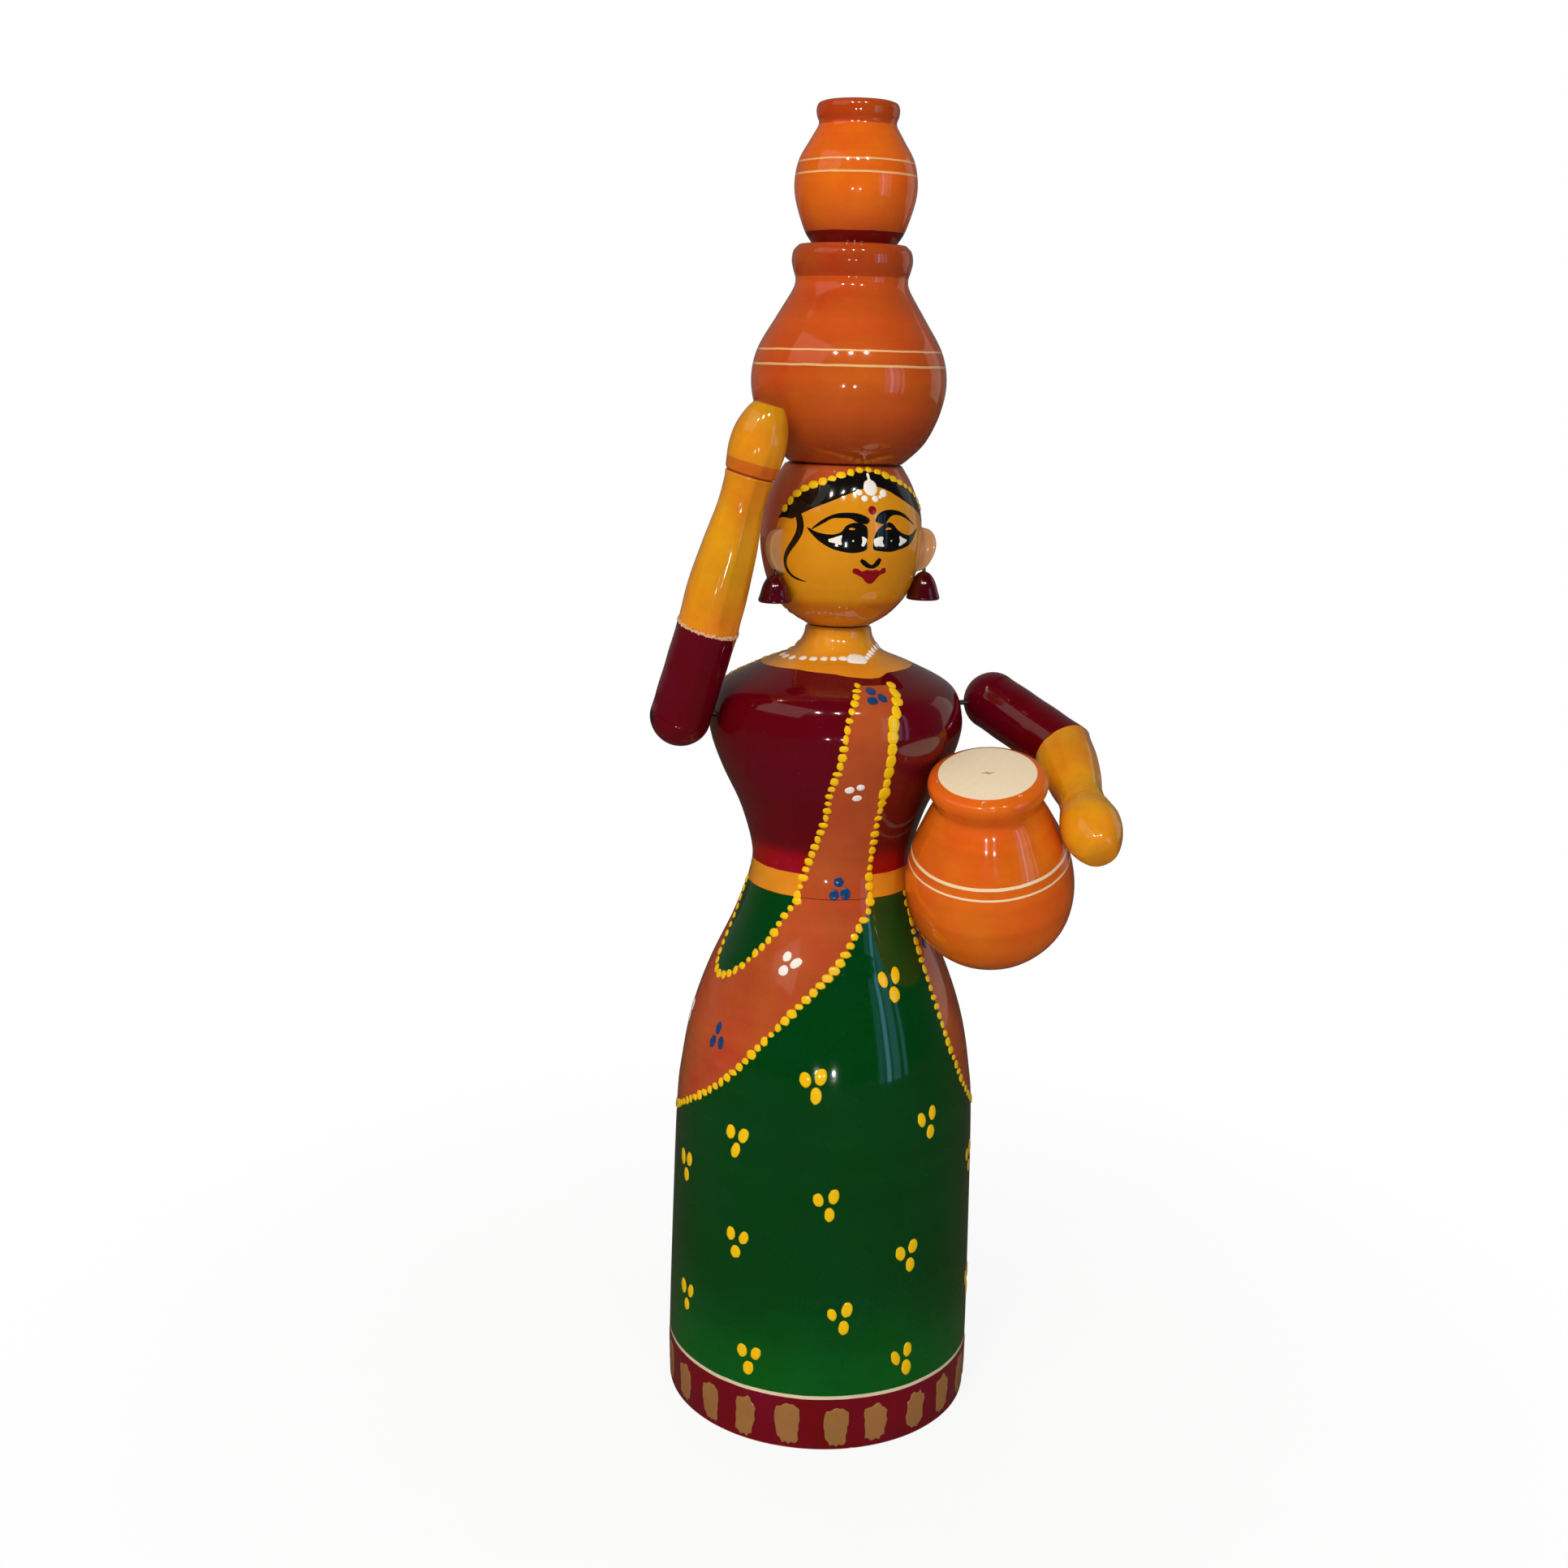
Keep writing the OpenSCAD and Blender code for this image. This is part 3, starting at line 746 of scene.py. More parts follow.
def place_dabs(tree, given, points):
    """Instances of the dab shapes on points, standing on each point's normal, realized and painted."""
    shapes = add(tree, "GeometryNodeCollectionInfo")
    feed(tree, shapes.inputs["Collection"], given["Dabs"])
    shapes.inputs["Separate Children"].default_value = True
    shapes.inputs["Reset Children"].default_value = True
    stand = add(tree, "FunctionNodeAlignRotationToVector", axis="Z")
    feed(tree, stand.inputs["Vector"], named_vector(tree, "outward"))
    face = add(tree, "FunctionNodeAlignRotationToVector", axis="X", pivot_axis="Z")
    feed(tree, face.inputs["Rotation"], stand.outputs["Rotation"])
    feed(tree, face.inputs["Vector"], named_vector(tree, "sideways"))
    pick = add(tree, "FunctionNodeRandomValue", data_type="INT")
    int_in = [s for s in pick.inputs if s.enabled and s.type == "INT" and s.name in ("Min", "Max")]
    int_in[0].default_value, int_in[1].default_value = 0, 3
    feed(tree, pick.inputs["Seed"], given["Seed"])
    vary = add(tree, "FunctionNodeRandomValue", data_type="FLOAT_VECTOR")
    vectors = [s for s in vary.inputs if s.enabled and s.type == "VECTOR"]
    feed(tree, vectors[0], given["Smallest"])
    feed(tree, vectors[1], given["Largest"])
    feed(tree, vary.inputs["Seed"], given["Seed"])
    put = add(tree, "GeometryNodeInstanceOnPoints")
    feed(tree, put.inputs["Points"], points)
    feed(tree, put.inputs["Instance"], shapes.outputs[0])
    put.inputs["Pick Instance"].default_value = True
    feed(tree, put.inputs["Instance Index"], [s for s in pick.outputs if s.enabled][0])
    feed(tree, put.inputs["Rotation"], face.outputs["Rotation"])
    size = add(tree, "ShaderNodeVectorMath", operation="MULTIPLY")
    feed(tree, size.inputs[0], [s for s in vary.outputs if s.enabled][0])
    feed(tree, size.inputs[1], named_vector(tree, "size"))
    feed(tree, put.inputs["Scale"], size.outputs[0])
    real = add(tree, "GeometryNodeRealizeInstances")
    feed(tree, real.inputs["Geometry"], put.outputs["Instances"])
    coat = add(tree, "GeometryNodeSetMaterial")
    feed(tree, coat.inputs["Geometry"], real.outputs["Geometry"])
    feed(tree, coat.inputs["Material"], given["Material"])
    return coat.outputs["Geometry"]


DAB_INPUTS = [("Dabs", "Collection", None), ("Material", "Material", None), ("Seed", "Int", 1),
              ("Smallest", "Vector", (1, 1, 1)), ("Largest", "Vector", (1, 1, 1))]


def dots_tree():
    """Painted dots on loose points."""
    return geometry_tree("Painted dots", DAB_INPUTS, lambda tree,
                         given: place_dabs(tree, given, given["Geometry"]))


def beads_tree():
    """Painted beads strung at an even spacing along lines."""
    def build(tree, given):
        line = add(tree, "GeometryNodeMeshToCurve")
        feed(tree, line.inputs["Mesh"], given["Geometry"])
        even = add(tree, "GeometryNodeResampleCurve", mode="LENGTH")
        feed(tree, even.inputs["Curve"], line.outputs["Curve"])
        feed(tree, even.inputs["Length"], given["Spacing"])
        return place_dabs(tree, given, even.outputs["Curve"])
    return geometry_tree("Bead border", DAB_INPUTS + [("Spacing", "Float", 0.0025)], build)


def grow(name, mesh, tree, body, slot=None, **values):
    """Runs a geometry tree on a mesh of points or lines and keeps the result as a plain piece."""
    obj = bpy.data.objects.new(name, mesh)
    bpy.context.scene.collection.objects.link(obj)
    modifier = obj.modifiers.new("grow", "NODES")
    modifier.node_group = tree
    ids = {item.name: item.identifier for item in tree.interface.items_tree
           if item.item_type == "SOCKET" and item.in_out == "INPUT"}
    for label, value in values.items():
        modifier[ids[label]] = value
    bpy.context.view_layer.update()
    graph = bpy.context.evaluated_depsgraph_get()
    made = bpy.data.meshes.new_from_object(obj.evaluated_get(graph), depsgraph=graph)
    obj.modifiers.remove(modifier)
    obj.data = made
    if not len(made.polygons):
        raise RuntimeError(f"{name} came out empty")
    made.shade_smooth()
    for extra in [a.name for a in made.attributes if a.name in ("outward", "sideways", "size")]:
        made.attributes.remove(made.attributes[extra])
    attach(obj, body)
    return obj


def store_vectors(mesh, outward, sideways, size):
    """Stores the vectors that the dab trees read, one of each kind for every point."""
    for label, values in (("outward", outward), ("sideways", sideways), ("size", size)):
        data = mesh.attributes.new(label, "FLOAT_VECTOR", "POINT")
        data.data.foreach_set("vector", np.array([tuple(v) for v in values], np.float32).ravel())


def surface_mesh(name, turning, spots, edges=()):
    """Mesh of loose points on a turning with the vectors that the dab trees read.
    A spot is (degrees, height, (wide, high, thick) in mm, lean in degrees)."""
    mesh = bpy.data.meshes.new(name)
    co, outward, sideways, size = [], [], [], []
    for turn, z, scale, lean in spots:
        s = float(turning.along(z))
        n = turning.normal(turn, s)
        side = (turning.point(turn + 1, s) - turning.point(turn - 1, s)).normalized()
        co.append(turning.point(turn, s))
        outward.append(n)
        sideways.append(Matrix.Rotation(math.radians(lean), 3, n) @ side)
        size.append([v * MM for v in scale])
    mesh.from_pydata(co, list(edges), [])
    store_vectors(mesh, outward, sideways, size)
    return mesh


def bead_line(name, turning, lines, size, seed, tall=1.0):
    """Strings beads of a relative size along lines of (degrees, height) key points."""
    radius = sizes().bead / MM * size
    spots, edges = [], []
    for line in lines:
        path = smooth_loop(line, 8, closed=False)
        start = len(spots)
        for i, p in enumerate(path):
            spots.append((p[0], p[1], (radius, radius * tall, radius * 0.26), 0))
            if i:
                edges.append((start + i - 1, start + i))
    mesh = surface_mesh(name, turning, spots, edges)
    return grow(name, mesh, beads_tree(), FIGURE, slot="mustard_lacquer",
                Dabs=dab_shapes("bead_dab", 12, 0.11, DOME, 3), Material=enamel("bead_yellow", "yellow"),
                Seed=seed, Smallest=(0.72, 0.66, 0.8), Largest=(1.34, 1.2, 1.25),
                Spacing=sizes().bead_step * size)


TRIPLE = [(-2.2, 1.7, 8), (2.3, 2.4, -14), (0.7, -3.0, -6)]     # x, z in mm and lean of each dot of a cluster


def dot_clusters(name, turning, centres, radius, material, seed, tall=1.45, slot=None, grip=1.0):
    """Clusters of three dots, each (degrees, height, turn of the cluster)."""
    spots = []
    for turn, z, spin in centres:
        around = math.radians(float(turning.radius(z)))
        slope = (float(turning.radius(z + 1)) - float(turning.radius(z - 1))) / 2
        rise = grip / math.hypot(1, slope)          # height gained for each mm up the surface
        c, s = math.cos(math.radians(spin)), math.sin(math.radians(spin))
        for x, y, lean in TRIPLE:
            spots.append((turn + (x * c - y * s) * grip / around, z + (x * s + y * c) * rise,
                          (radius, radius * tall, radius * 0.14), lean + spin))
    mesh = surface_mesh(name, turning, spots)
    return grow(name, mesh, dots_tree(), FIGURE, slot=slot, Dabs=dab_shapes("dot_dab", 14, 0.05, DOME, 5),
                Material=material, Seed=seed, Smallest=(0.86, 0.86, 0.9), Largest=(1.12, 1.14, 1.1))


# ---- Where the parts of the figure stand, in mm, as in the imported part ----


def pointing(side, rise):
    """Unit vector `side` degrees round from the front (-Y) and `rise` degrees above level."""
    a, e = math.radians(side), math.radians(rise)
    return Vector((math.sin(a) * math.cos(e), -math.cos(a) * math.cos(e), math.sin(e)))


def standing(at, direction=UP):
    """Matrix that puts an axis through a point in mm, along a direction."""
    return Matrix.Translation(Vector(at) * MM) @ direction.to_track_quat("Z", "Y").to_matrix().to_4x4()


HIP_POT = standing(pointing(47, 0) * 49.3 + Vector((0, 0, 166)), pointing(-35, 70))
SLEEVE_R = 8.8
UPPER_ARM = 28.0
NAIL_BORE = 0.81
NAIL_HEAD_ROOM = 1.96
NAIL_HEAD_DEPTH = 0.86
EAR_TURN = 69
EAR_Z = 260.08
EAR_HIGH = 12.4
EAR_REACH = 4.3
EAR_MID_X, EAR_MID_Z = 0.12, 0.02      # where a lobe's face is dished, as shares of its reach and height
HEAD_R = 23.0
EARRING_OUT = 24.1
EARRING_Z = 245.88


class Arm:
    """Where one arm's shoulder, elbow and forearm lie."""

    def __init__(self, side, shoulder, upper, fore, length):
        self.side, self.shoulder = side, Vector(shoulder)
        self.upper, self.fore, self.length = upper, fore, length
        self.elbow = self.shoulder + UPPER_ARM * upper
        self.mitre = (upper + fore).normalized()


RIGHT = Arm("right", (-47.1, 0, 212.92), pointing(30, 69), pointing(60.5, 75.3), 65)
LEFT = Arm("left", (50.5, 0, 213.42), pointing(29, -22.5), pointing(-12, -25.7), 49)

_turnings = {}


def turning_of(node):
    if node not in _turnings:
        shifts = {"lower_pot": 0.9, "upper_pot": 1.3}
        place = HIP_POT if node == "hip_pot" else Matrix.Translation((shifts.get(node, 0) * MM, 0, 0))
        _turnings[node] = Turning.of(node, place)
    return _turnings[node]


# ---- Painted regions as key points: degrees from the front (her left is positive) and height in mm ----

HEM_LINE_Z = 17.4
WAIST_Z = 162.0
MIDRIFF_TOP = 168.7

SASH_LEFT = [(-8.6, 224.6), (-14.1, 217.9), (-16.8, 209.2), (-18.2, 203.3), (-22.7, 194.4), (-24.9, 186.5),
             (-32.2, 177.2), (-39.4, 169.4), (-43.4, 162.6)]
SASH_RIGHT = [(13.0, 224.4), (8.0, 219.0), (4.9, 213.5), (5.0, 201.7), (5.8, 191.5), (6.7, 183.6),
              (7.4, 173.2), (7.0, 162.8)]
WINDOW = [(-43.0, 161.0), (-50.7, 156.1), (-56.0, 150.0), (-63.5, 144.8), (-70.2, 140.2), (-78.7, 136.8),
          (-87.0, 136.0), (-93.9, 138.9), (-98.0, 144.5), (-101.0, 151.0), (-104.0, 156.5), (-106.0, 161.2)]
CLOTH_FRONT = [(6.6, 161.2), (4.2, 158.4), (-4.6, 153.0), (-12.4, 146.7), (-20.8, 141.4), (-28.1, 137.0),
               (-36.5, 131.2), (-47.4, 122.4), (-58.8, 112.5), (-72.9, 103.4), (-94.0, 94.0)]
CLOTH_BACK = [(-115, 88), (-150, 84), (-180, 83), (-210, 84), (-240, 86), (-262, 88.5), (-285, 91.5)]
CLOTH_LEFT = [(-301.5, 97.3), (-309, 102.5), (-314.6, 109.0), (-321.0, 119.9), (-324.0, 135.5),
              (-323.0, 146.6), (-320.6, 156.5), (-319.8, 161.2)]
BACK_EDGE = [(118, 237), (117, 232), (116, 225), (114, 214), (112, 205), (114, 196), (118, 180), (121, 168.5),
             (122, 162.8)]
NECKLINE = [(-180, 227.2), (-96, 226.8), (-53, 227.3), (-21.5, 226.8), (-11, 226.3), (2, 225.9), (9, 226.0),
            (19, 226.9), (60, 227.0), (120, 227.2), (180, 227.2)]
VEIL_ARC = [(-66.5, 272.0), (-57.6, 276.5), (-49.1, 278.2), (-39.7, 279.5), (-30.2, 280.6), (-20.3, 281.8),
            (-11.2, 282.5), (-1.3, 283.2), (10.2, 282.7), (20.2, 281.6), (31.0, 280.2), (41.6, 278.7),
            (50.0, 277.2), (58.0, 275.2), (66.0, 272.2)]
VEIL_SIDE = [(71, 268.8), (73.5, 265.0), (74.5, 260.0), (76.5, 254.5), (83, 250.0), (95, 245.6), (110, 241.6),
             (118, 238.5)]


def mirrored(points):
    return [(-turn, z) for turn, z in points]


# ---- Pieces ----


class DOLL_OT_skirt(bpy.types.Operator):
    """Turned skirt with its painted sash, hem band and cream line, and a painted floor reflection near the
    foot
    """

    bl_idname, bl_label = "doll.skirt", "Skirt"

    def execute(self, context):
        turning = turning_of("skirt")
        mesh = lathe(turning, "skirt_turning", SKIRT_SPOKES)
        cloth = [(7, 175)] + CLOTH_FRONT + CLOTH_BACK + CLOTH_LEFT + [(-319.6, 175)]
        window = [(-42, 175)] + WINDOW + [(-107, 175)]
        add_region(mesh, turning, "cloth", [cloth], [window], spokes=SKIRT_SPOKES)
        green = lacquered("skirt_lacquer", paint("green"), [
            # Painted reflection: the green is lighter towards the foot, where the pale floor shows in the
            # lacquer
            ("tint_and_light_ramp", 16, 52, rgb(3, 92, 27)),
            ("region", "cloth", paint("cloth")),
            ("below", HEM_LINE_Z, paint("hem")),
            ("line", HEM_LINE_Z, 1.1, paint("cream")),
            ("line", 0.2, 0.9, rgb(214, 168, 132)),
            ("chips", 0.4, 0.92),
        ], mottle=0.55, rings=0.22)
        finish_mesh(mesh, "skirt_turning", [green, bare_wood("foot_wood")], FIGURE, ["skirt"])
        return {"FINISHED"}


class DOLL_OT_bodice(bpy.types.Operator):
    """Turned bodice and neck with the sash, midriff, neckline and the veil's back panel"""

    bl_idname, bl_label = "doll.bodice", "Bodice"

    def execute(self, context):
        turning = turning_of("bodice")
        mesh = lathe(turning, "bodice_turning", BODY_SPOKES)
        sash = SASH_LEFT + [(-44, 150), (7, 150)] + SASH_RIGHT[::-1]
        back = [(118, 260)] + BACK_EDGE + [(122, 150), (238, 150)] + \
               [(360 - t, z) for t, z in reversed(BACK_EDGE)] + [(242, 260)]
        skin = NECKLINE + [(180, 260), (-180, 260)]
        add_region(mesh, turning, "sash", [sash, back], spokes=BODY_SPOKES)
        add_region(mesh, turning, "skin", [skin], spokes=BODY_SPOKES)
        maroon = lacquered("bodice_lacquer", paint("maroon"), [
            ("tint_and_light_ramp", MIDRIFF_TOP + 3.5, MIDRIFF_TOP + 9, paint("red")),
            ("below", MIDRIFF_TOP, paint("skin")),
            ("region", "skin", paint("skin")),
            ("region", "sash", paint("cloth")),
            ("line", WAIST_Z, 0.35, rgb(70, 20, 12)),
        ], mottle=0.4, rings=0.16)
        finish_mesh(mesh, "bodice_turning", [maroon, maroon], FIGURE, ["bodice"])
        return {"FINISHED"}


class DOLL_OT_head(bpy.types.Operator):
    """Turned head with the face opening painted on the veil, painted reflection and shade under the chin, and
    a painted shadow line at the neck
    """

    bl_idname, bl_label = "doll.head", "Head"

    def execute(self, context):
        turning = turning_of("head")
        mesh = lathe(turning, "head_turning", BODY_SPOKES)
        face = VEIL_ARC + VEIL_SIDE + [(119, 220), (-119, 220)] + mirrored(VEIL_SIDE)[::-1]
        add_region(mesh, turning, "face", [face], spokes=BODY_SPOKES)
        skin = lacquered("head_lacquer", paint("cloth"), [
            ("region", "face", paint("mustard")),
            # Painted reflection and shade: a browner, darker band over the chin, standing for the bodice
            # mirrored in the lacquer
            ("tint_and_light_ramp", 244.6, 247.4, rgb(200, 110, 25)),
            # Painted shade: dark brown line where the head sits on the neck, standing for the shadow in the
            # gap
            ("line", 238.1, 0.7, rgb(104, 40, 14)),
        ], mottle=0.35, rings=0.10)
        finish_mesh(mesh, "head_turning", [skin, skin], FIGURE, ["head"])
        return {"FINISHED"}


HAIR_LOW = [(-58, 269.4), (-52.9, 270.5), (-41.2, 272.7), (-28.5, 274.7), (-17.7, 276.4), (-6.1, 277.9),
            (2, 278.8), (8.4, 278.6), (17.3, 277.6), (27.0, 275.8), (38.2, 273.7), (52.3, 271.2), (60, 269.6),
            (69.5, 267.6)]
HAIR_UP = [(70.5, 270.2), (66, 272.6), (59.1, 275.0), (46.2, 277.7), (32.9, 279.8), (20.4, 281.3),
           (9.3, 282.4), (-4.6, 282.8), (-17.8, 281.9), (-30.0, 280.5), (-41.2, 279.0), (-53.3, 276.9),
           (-61.4, 274.6), (-66.5, 272.0), (-71.5, 269.3), (-66.0, 269.6)]
EYE_LEFT = [(-45.3, 267.4), (-37.6, 266.2), (-28.2, 265.7), (-21.3, 266.4), (-17.4, 268.2), (-12.4, 269.0),
            (-7.2, 268.8), (-2.9, 267.9), (-2.3, 265.5), (-2.9, 263.9), (-3.2, 261.7), (-11.9, 260.8),
            (-20.9, 261.2), (-27.9, 262.0), (-35.2, 263.6), (-40.6, 265.3)]
EYE_RIGHT = [(2.1, 261.8), (2.0, 263.9), (3.4, 266.1), (7.4, 267.9), (12.6, 269.0), (17.4, 268.7),
             (22.2, 266.9), (28.3, 265.7), (36.2, 265.3), (46.5, 266.9), (37.1, 263.2), (29.8, 262.0),
             (22.2, 261.4), (15.5, 261.0), (8.3, 261.2)]
BROW_RIGHT = [(3.5, 269.8), (6.3, 271.4), (11.6, 272.3), (19.6, 272.4), (28.1, 271.5), (35.4, 269.8),
              (41.7, 267.8), (30.2, 270.1), (21.5, 271.0), (15.8, 270.5), (10.5, 268.7), (4.7, 269.1)]
BROW_LEFT = [(-42.4, 266.8), (-35.8, 269.2), (-28.8, 270.8), (-21.7, 271.6), (-12.3, 271.7), (-5.0, 271.0),
             (-0.9, 269.9), (-3.0, 268.7), (-9.3, 269.0), (-14.4, 270.1), (-21.6, 270.2), (-27.6, 270.0),
             (-33.7, 268.6)]
WHITES = [[(-31.0, 264.0), (-25.2, 265.0), (-20.2, 265.6), (-20.7, 264.3), (-20.3, 262.9), (-25.0, 263.3)],
          [(-6.7, 265.3), (-3.5, 264.9), (-3.3, 263.9), (-4.9, 262.6), (-7.0, 262.9), (-6.2, 264.0)],
          [(2.9, 262.7), (2.6, 264.7), (9.6, 265.3), (8.9, 263.9), (10.4, 262.5), (6.0, 262.6)],
          [(23.2, 265.4), (26.7, 264.7), (31.7, 263.8), (26.1, 262.7), (22.6, 262.4), (23.8, 263.8)]]
LID_GAPS = [[(-16.2, 267.2), (-13.8, 267.75), (-10.4, 267.25), (-13.0, 267.0)],
            [(10.2, 267.0), (13.6, 267.8), (17.6, 267.1), (14.0, 267.05)]]
LIPS = [(-12.1, 255.8), (-11.1, 256.5), (-8.0, 256.4), (-5.1, 255.7), (-1.4, 256.1), (2.2, 255.9),
        (5.5, 256.1), (8.6, 255.8), (10.4, 256.5), (13.0, 256.4), (13.4, 255.2), (9.7, 254.7), (7.1, 253.7),
        (4.6, 252.5), (1.8, 252.1), (-1.3, 252.6), (-4.6, 253.9), (-8.6, 254.7), (-11.5, 255.2)]
CURL = [(-54.0, 271.2, 1.9), (-51.0, 268.6, 2.1), (-51.0, 266.0, 2.1), (-54.8, 263.2, 1.8),
        (-60.0, 260.6, 1.5), (-63.2, 258.1, 1.2), (-63.0, 255.6, 0.95), (-58.3, 253.5, 0.7),
        (-51, 252.5, 0.45), (-46.5, 252.2, 0.12)]
NOSE = [(-6.6, 258.9, 0.8), (-4.4, 258.2, 1.3), (-1.2, 257.3, 1.25), (1.8, 257.0, 1.05), (4.2, 257.3, 1.3),
        (6.0, 258.1, 1.5), (7.9, 259.2, 1.0)]


class DOLL_OT_face(bpy.types.Operator):
    """Brushed hair, brows, eyes, nose mark, lips and forehead jewel, each a thin raised film, and painted
    highlights on the pupils
    """

    bl_idname, bl_label = "doll.face", "Face painting"

    def execute(self, context):
        head = turning_of("head")
        coat = sizes().film
        black = enamel("kohl_black", "black", mottle=0.5, coat=0.2)
        white = enamel("brushed_white", "white", mottle=0.1)
        red = enamel("lip_red", "lip", mottle=0.3)
        yellow = enamel("lid_mustard", "mustard")
        film_piece("hair_band", head, [HAIR_LOW + HAIR_UP], black)
        film_piece("hair_curl", head, [("stroke", CURL)], black, lift=coat * 1.2)
        film_piece("brows", head, [BROW_LEFT, BROW_RIGHT], black, step=0.6)
        film_piece("eye_outlines", head, [EYE_LEFT, EYE_RIGHT], black, step=0.6)
        film_piece("nose_mark", head, [("stroke", NOSE)], black, step=0.5)
        film_piece("eye_whites", head, WHITES, white, lift=coat * 1.9, step=0.5)
        film_piece("lid_gaps", head, LID_GAPS, yellow, lift=coat * 1.8, step=0.4, smooth=3)
        # Painted highlights: tiny white films on the pupils stand for glints of light
        glints = [ellipse(-12.6, 264.1, 0.26, 0.26, FACE_R, count=10),
                  ellipse(16.0, 264.0, 0.22, 0.22, FACE_R, count=10)]
        film_piece("eye_glints", head, glints, white, lift=coat * 2.4, step=0.4, smooth=2)
        film_piece("lips", head, [LIPS], red, step=0.6)
        film_piece("forehead_dot", head, [ellipse(1.4, 272.4, 1.15, 1.15, FACE_R)], red, lift=coat * 2)
        drop = [(0.2, 281.8), (1.5, 282.2), (2.9, 281.8), (2.8, 281.0), (3.4, 280.4), (6.3, 279.8),
                (7.6, 278.4), (5.9, 276.8), (1.9, 276.2), (-2.3, 276.9), (-3.9, 278.4), (-2.6, 279.8),
                (0.2, 280.4), (0.6, 281.0)]
        pearls = [ellipse(-8.0, 277.1, 1.0, 0.8, 21, -20, 9), ellipse(-3.9, 275.5, 0.95, 0.8, 21, 10, 8),
                  ellipse(4.6, 275.4, 0.95, 0.85, 21, 0, 9), ellipse(9.0, 275.9, 0.5, 0.5, 21, 0, 8),
                  ellipse(12.4, 276.8, 1.15, 1.0, 21, 25, 9)]
        film_piece("forehead_jewel", head, [drop] + pearls, white, lift=0.00028, step=0.6)
        return {"FINISHED"}


class DOLL_OT_necklace(bpy.types.Operator):
    """White dabs of the necklace and its oval pendant"""

    bl_idname, bl_label = "doll.necklace", "Necklace"

    def execute(self, context):
        bodice = turning_of("bodice")
        dashes = [(-100, 229.2), (-88, 229.2), (-75, 229.3), (-61, 229.6), (-48, 229.7), (-36, 229.9),
                  (-25, 230.0), (-14, 230.1)]
        small = [(16, 230.1), (22, 230.6), (29, 231.1), (37, 231.6), (47, 232.0), (60, 232.2), (75, 232.2),
                 (90, 232.0), (103, 231.6)]
        spots = [(t, z, (1.2, 1.15, 0.25), 0) for t, z in dashes]
        spots += [(t, z, (0.72, 1.1, 0.25), 12) for t, z in small]
        spots.append((1.5, 229.9, (3.1, 2.5, 0.4), -5))
        mesh = surface_mesh("necklace", bodice, spots)
        grow("necklace", mesh, dots_tree(), FIGURE, Dabs=dab_shapes("bead_dab", 12, 0.11, DOME, 3),
             Material=enamel("brushed_white", "white", mottle=0.1), Seed=sizes().seed + 4,
             Smallest=(0.85, 0.85, 0.9), Largest=(1.15, 1.1, 1.1))
        return {"FINISHED"}


class DOLL_OT_bead_borders(bpy.types.Operator):
    """Yellow bead borders of the veil, the sash and the cloth round the hips"""

    bl_idname, bl_label = "doll.bead_borders", "Bead borders"

    def execute(self, context):
        seed = sizes().seed
        bead_line("veil_beads", turning_of("head"), [VEIL_ARC, VEIL_SIDE[3:], mirrored(VEIL_SIDE[3:])], 0.98,
                  seed)
        bead_line("bodice_beads", turning_of("bodice"),
                  [SASH_LEFT, SASH_RIGHT[4:], BACK_EDGE[1:], mirrored(BACK_EDGE[1:])], 0.98, seed + 1)
        bead_line("bodice_long_beads", turning_of("bodice"), [SASH_RIGHT[:5]], 1.22, seed + 3, tall=1.6)
        bead_line("skirt_beads", turning_of("skirt"), [WINDOW, CLOTH_FRONT + CLOTH_BACK + CLOTH_LEFT], 1.05,
                  seed + 2)
        return {"FINISHED"}


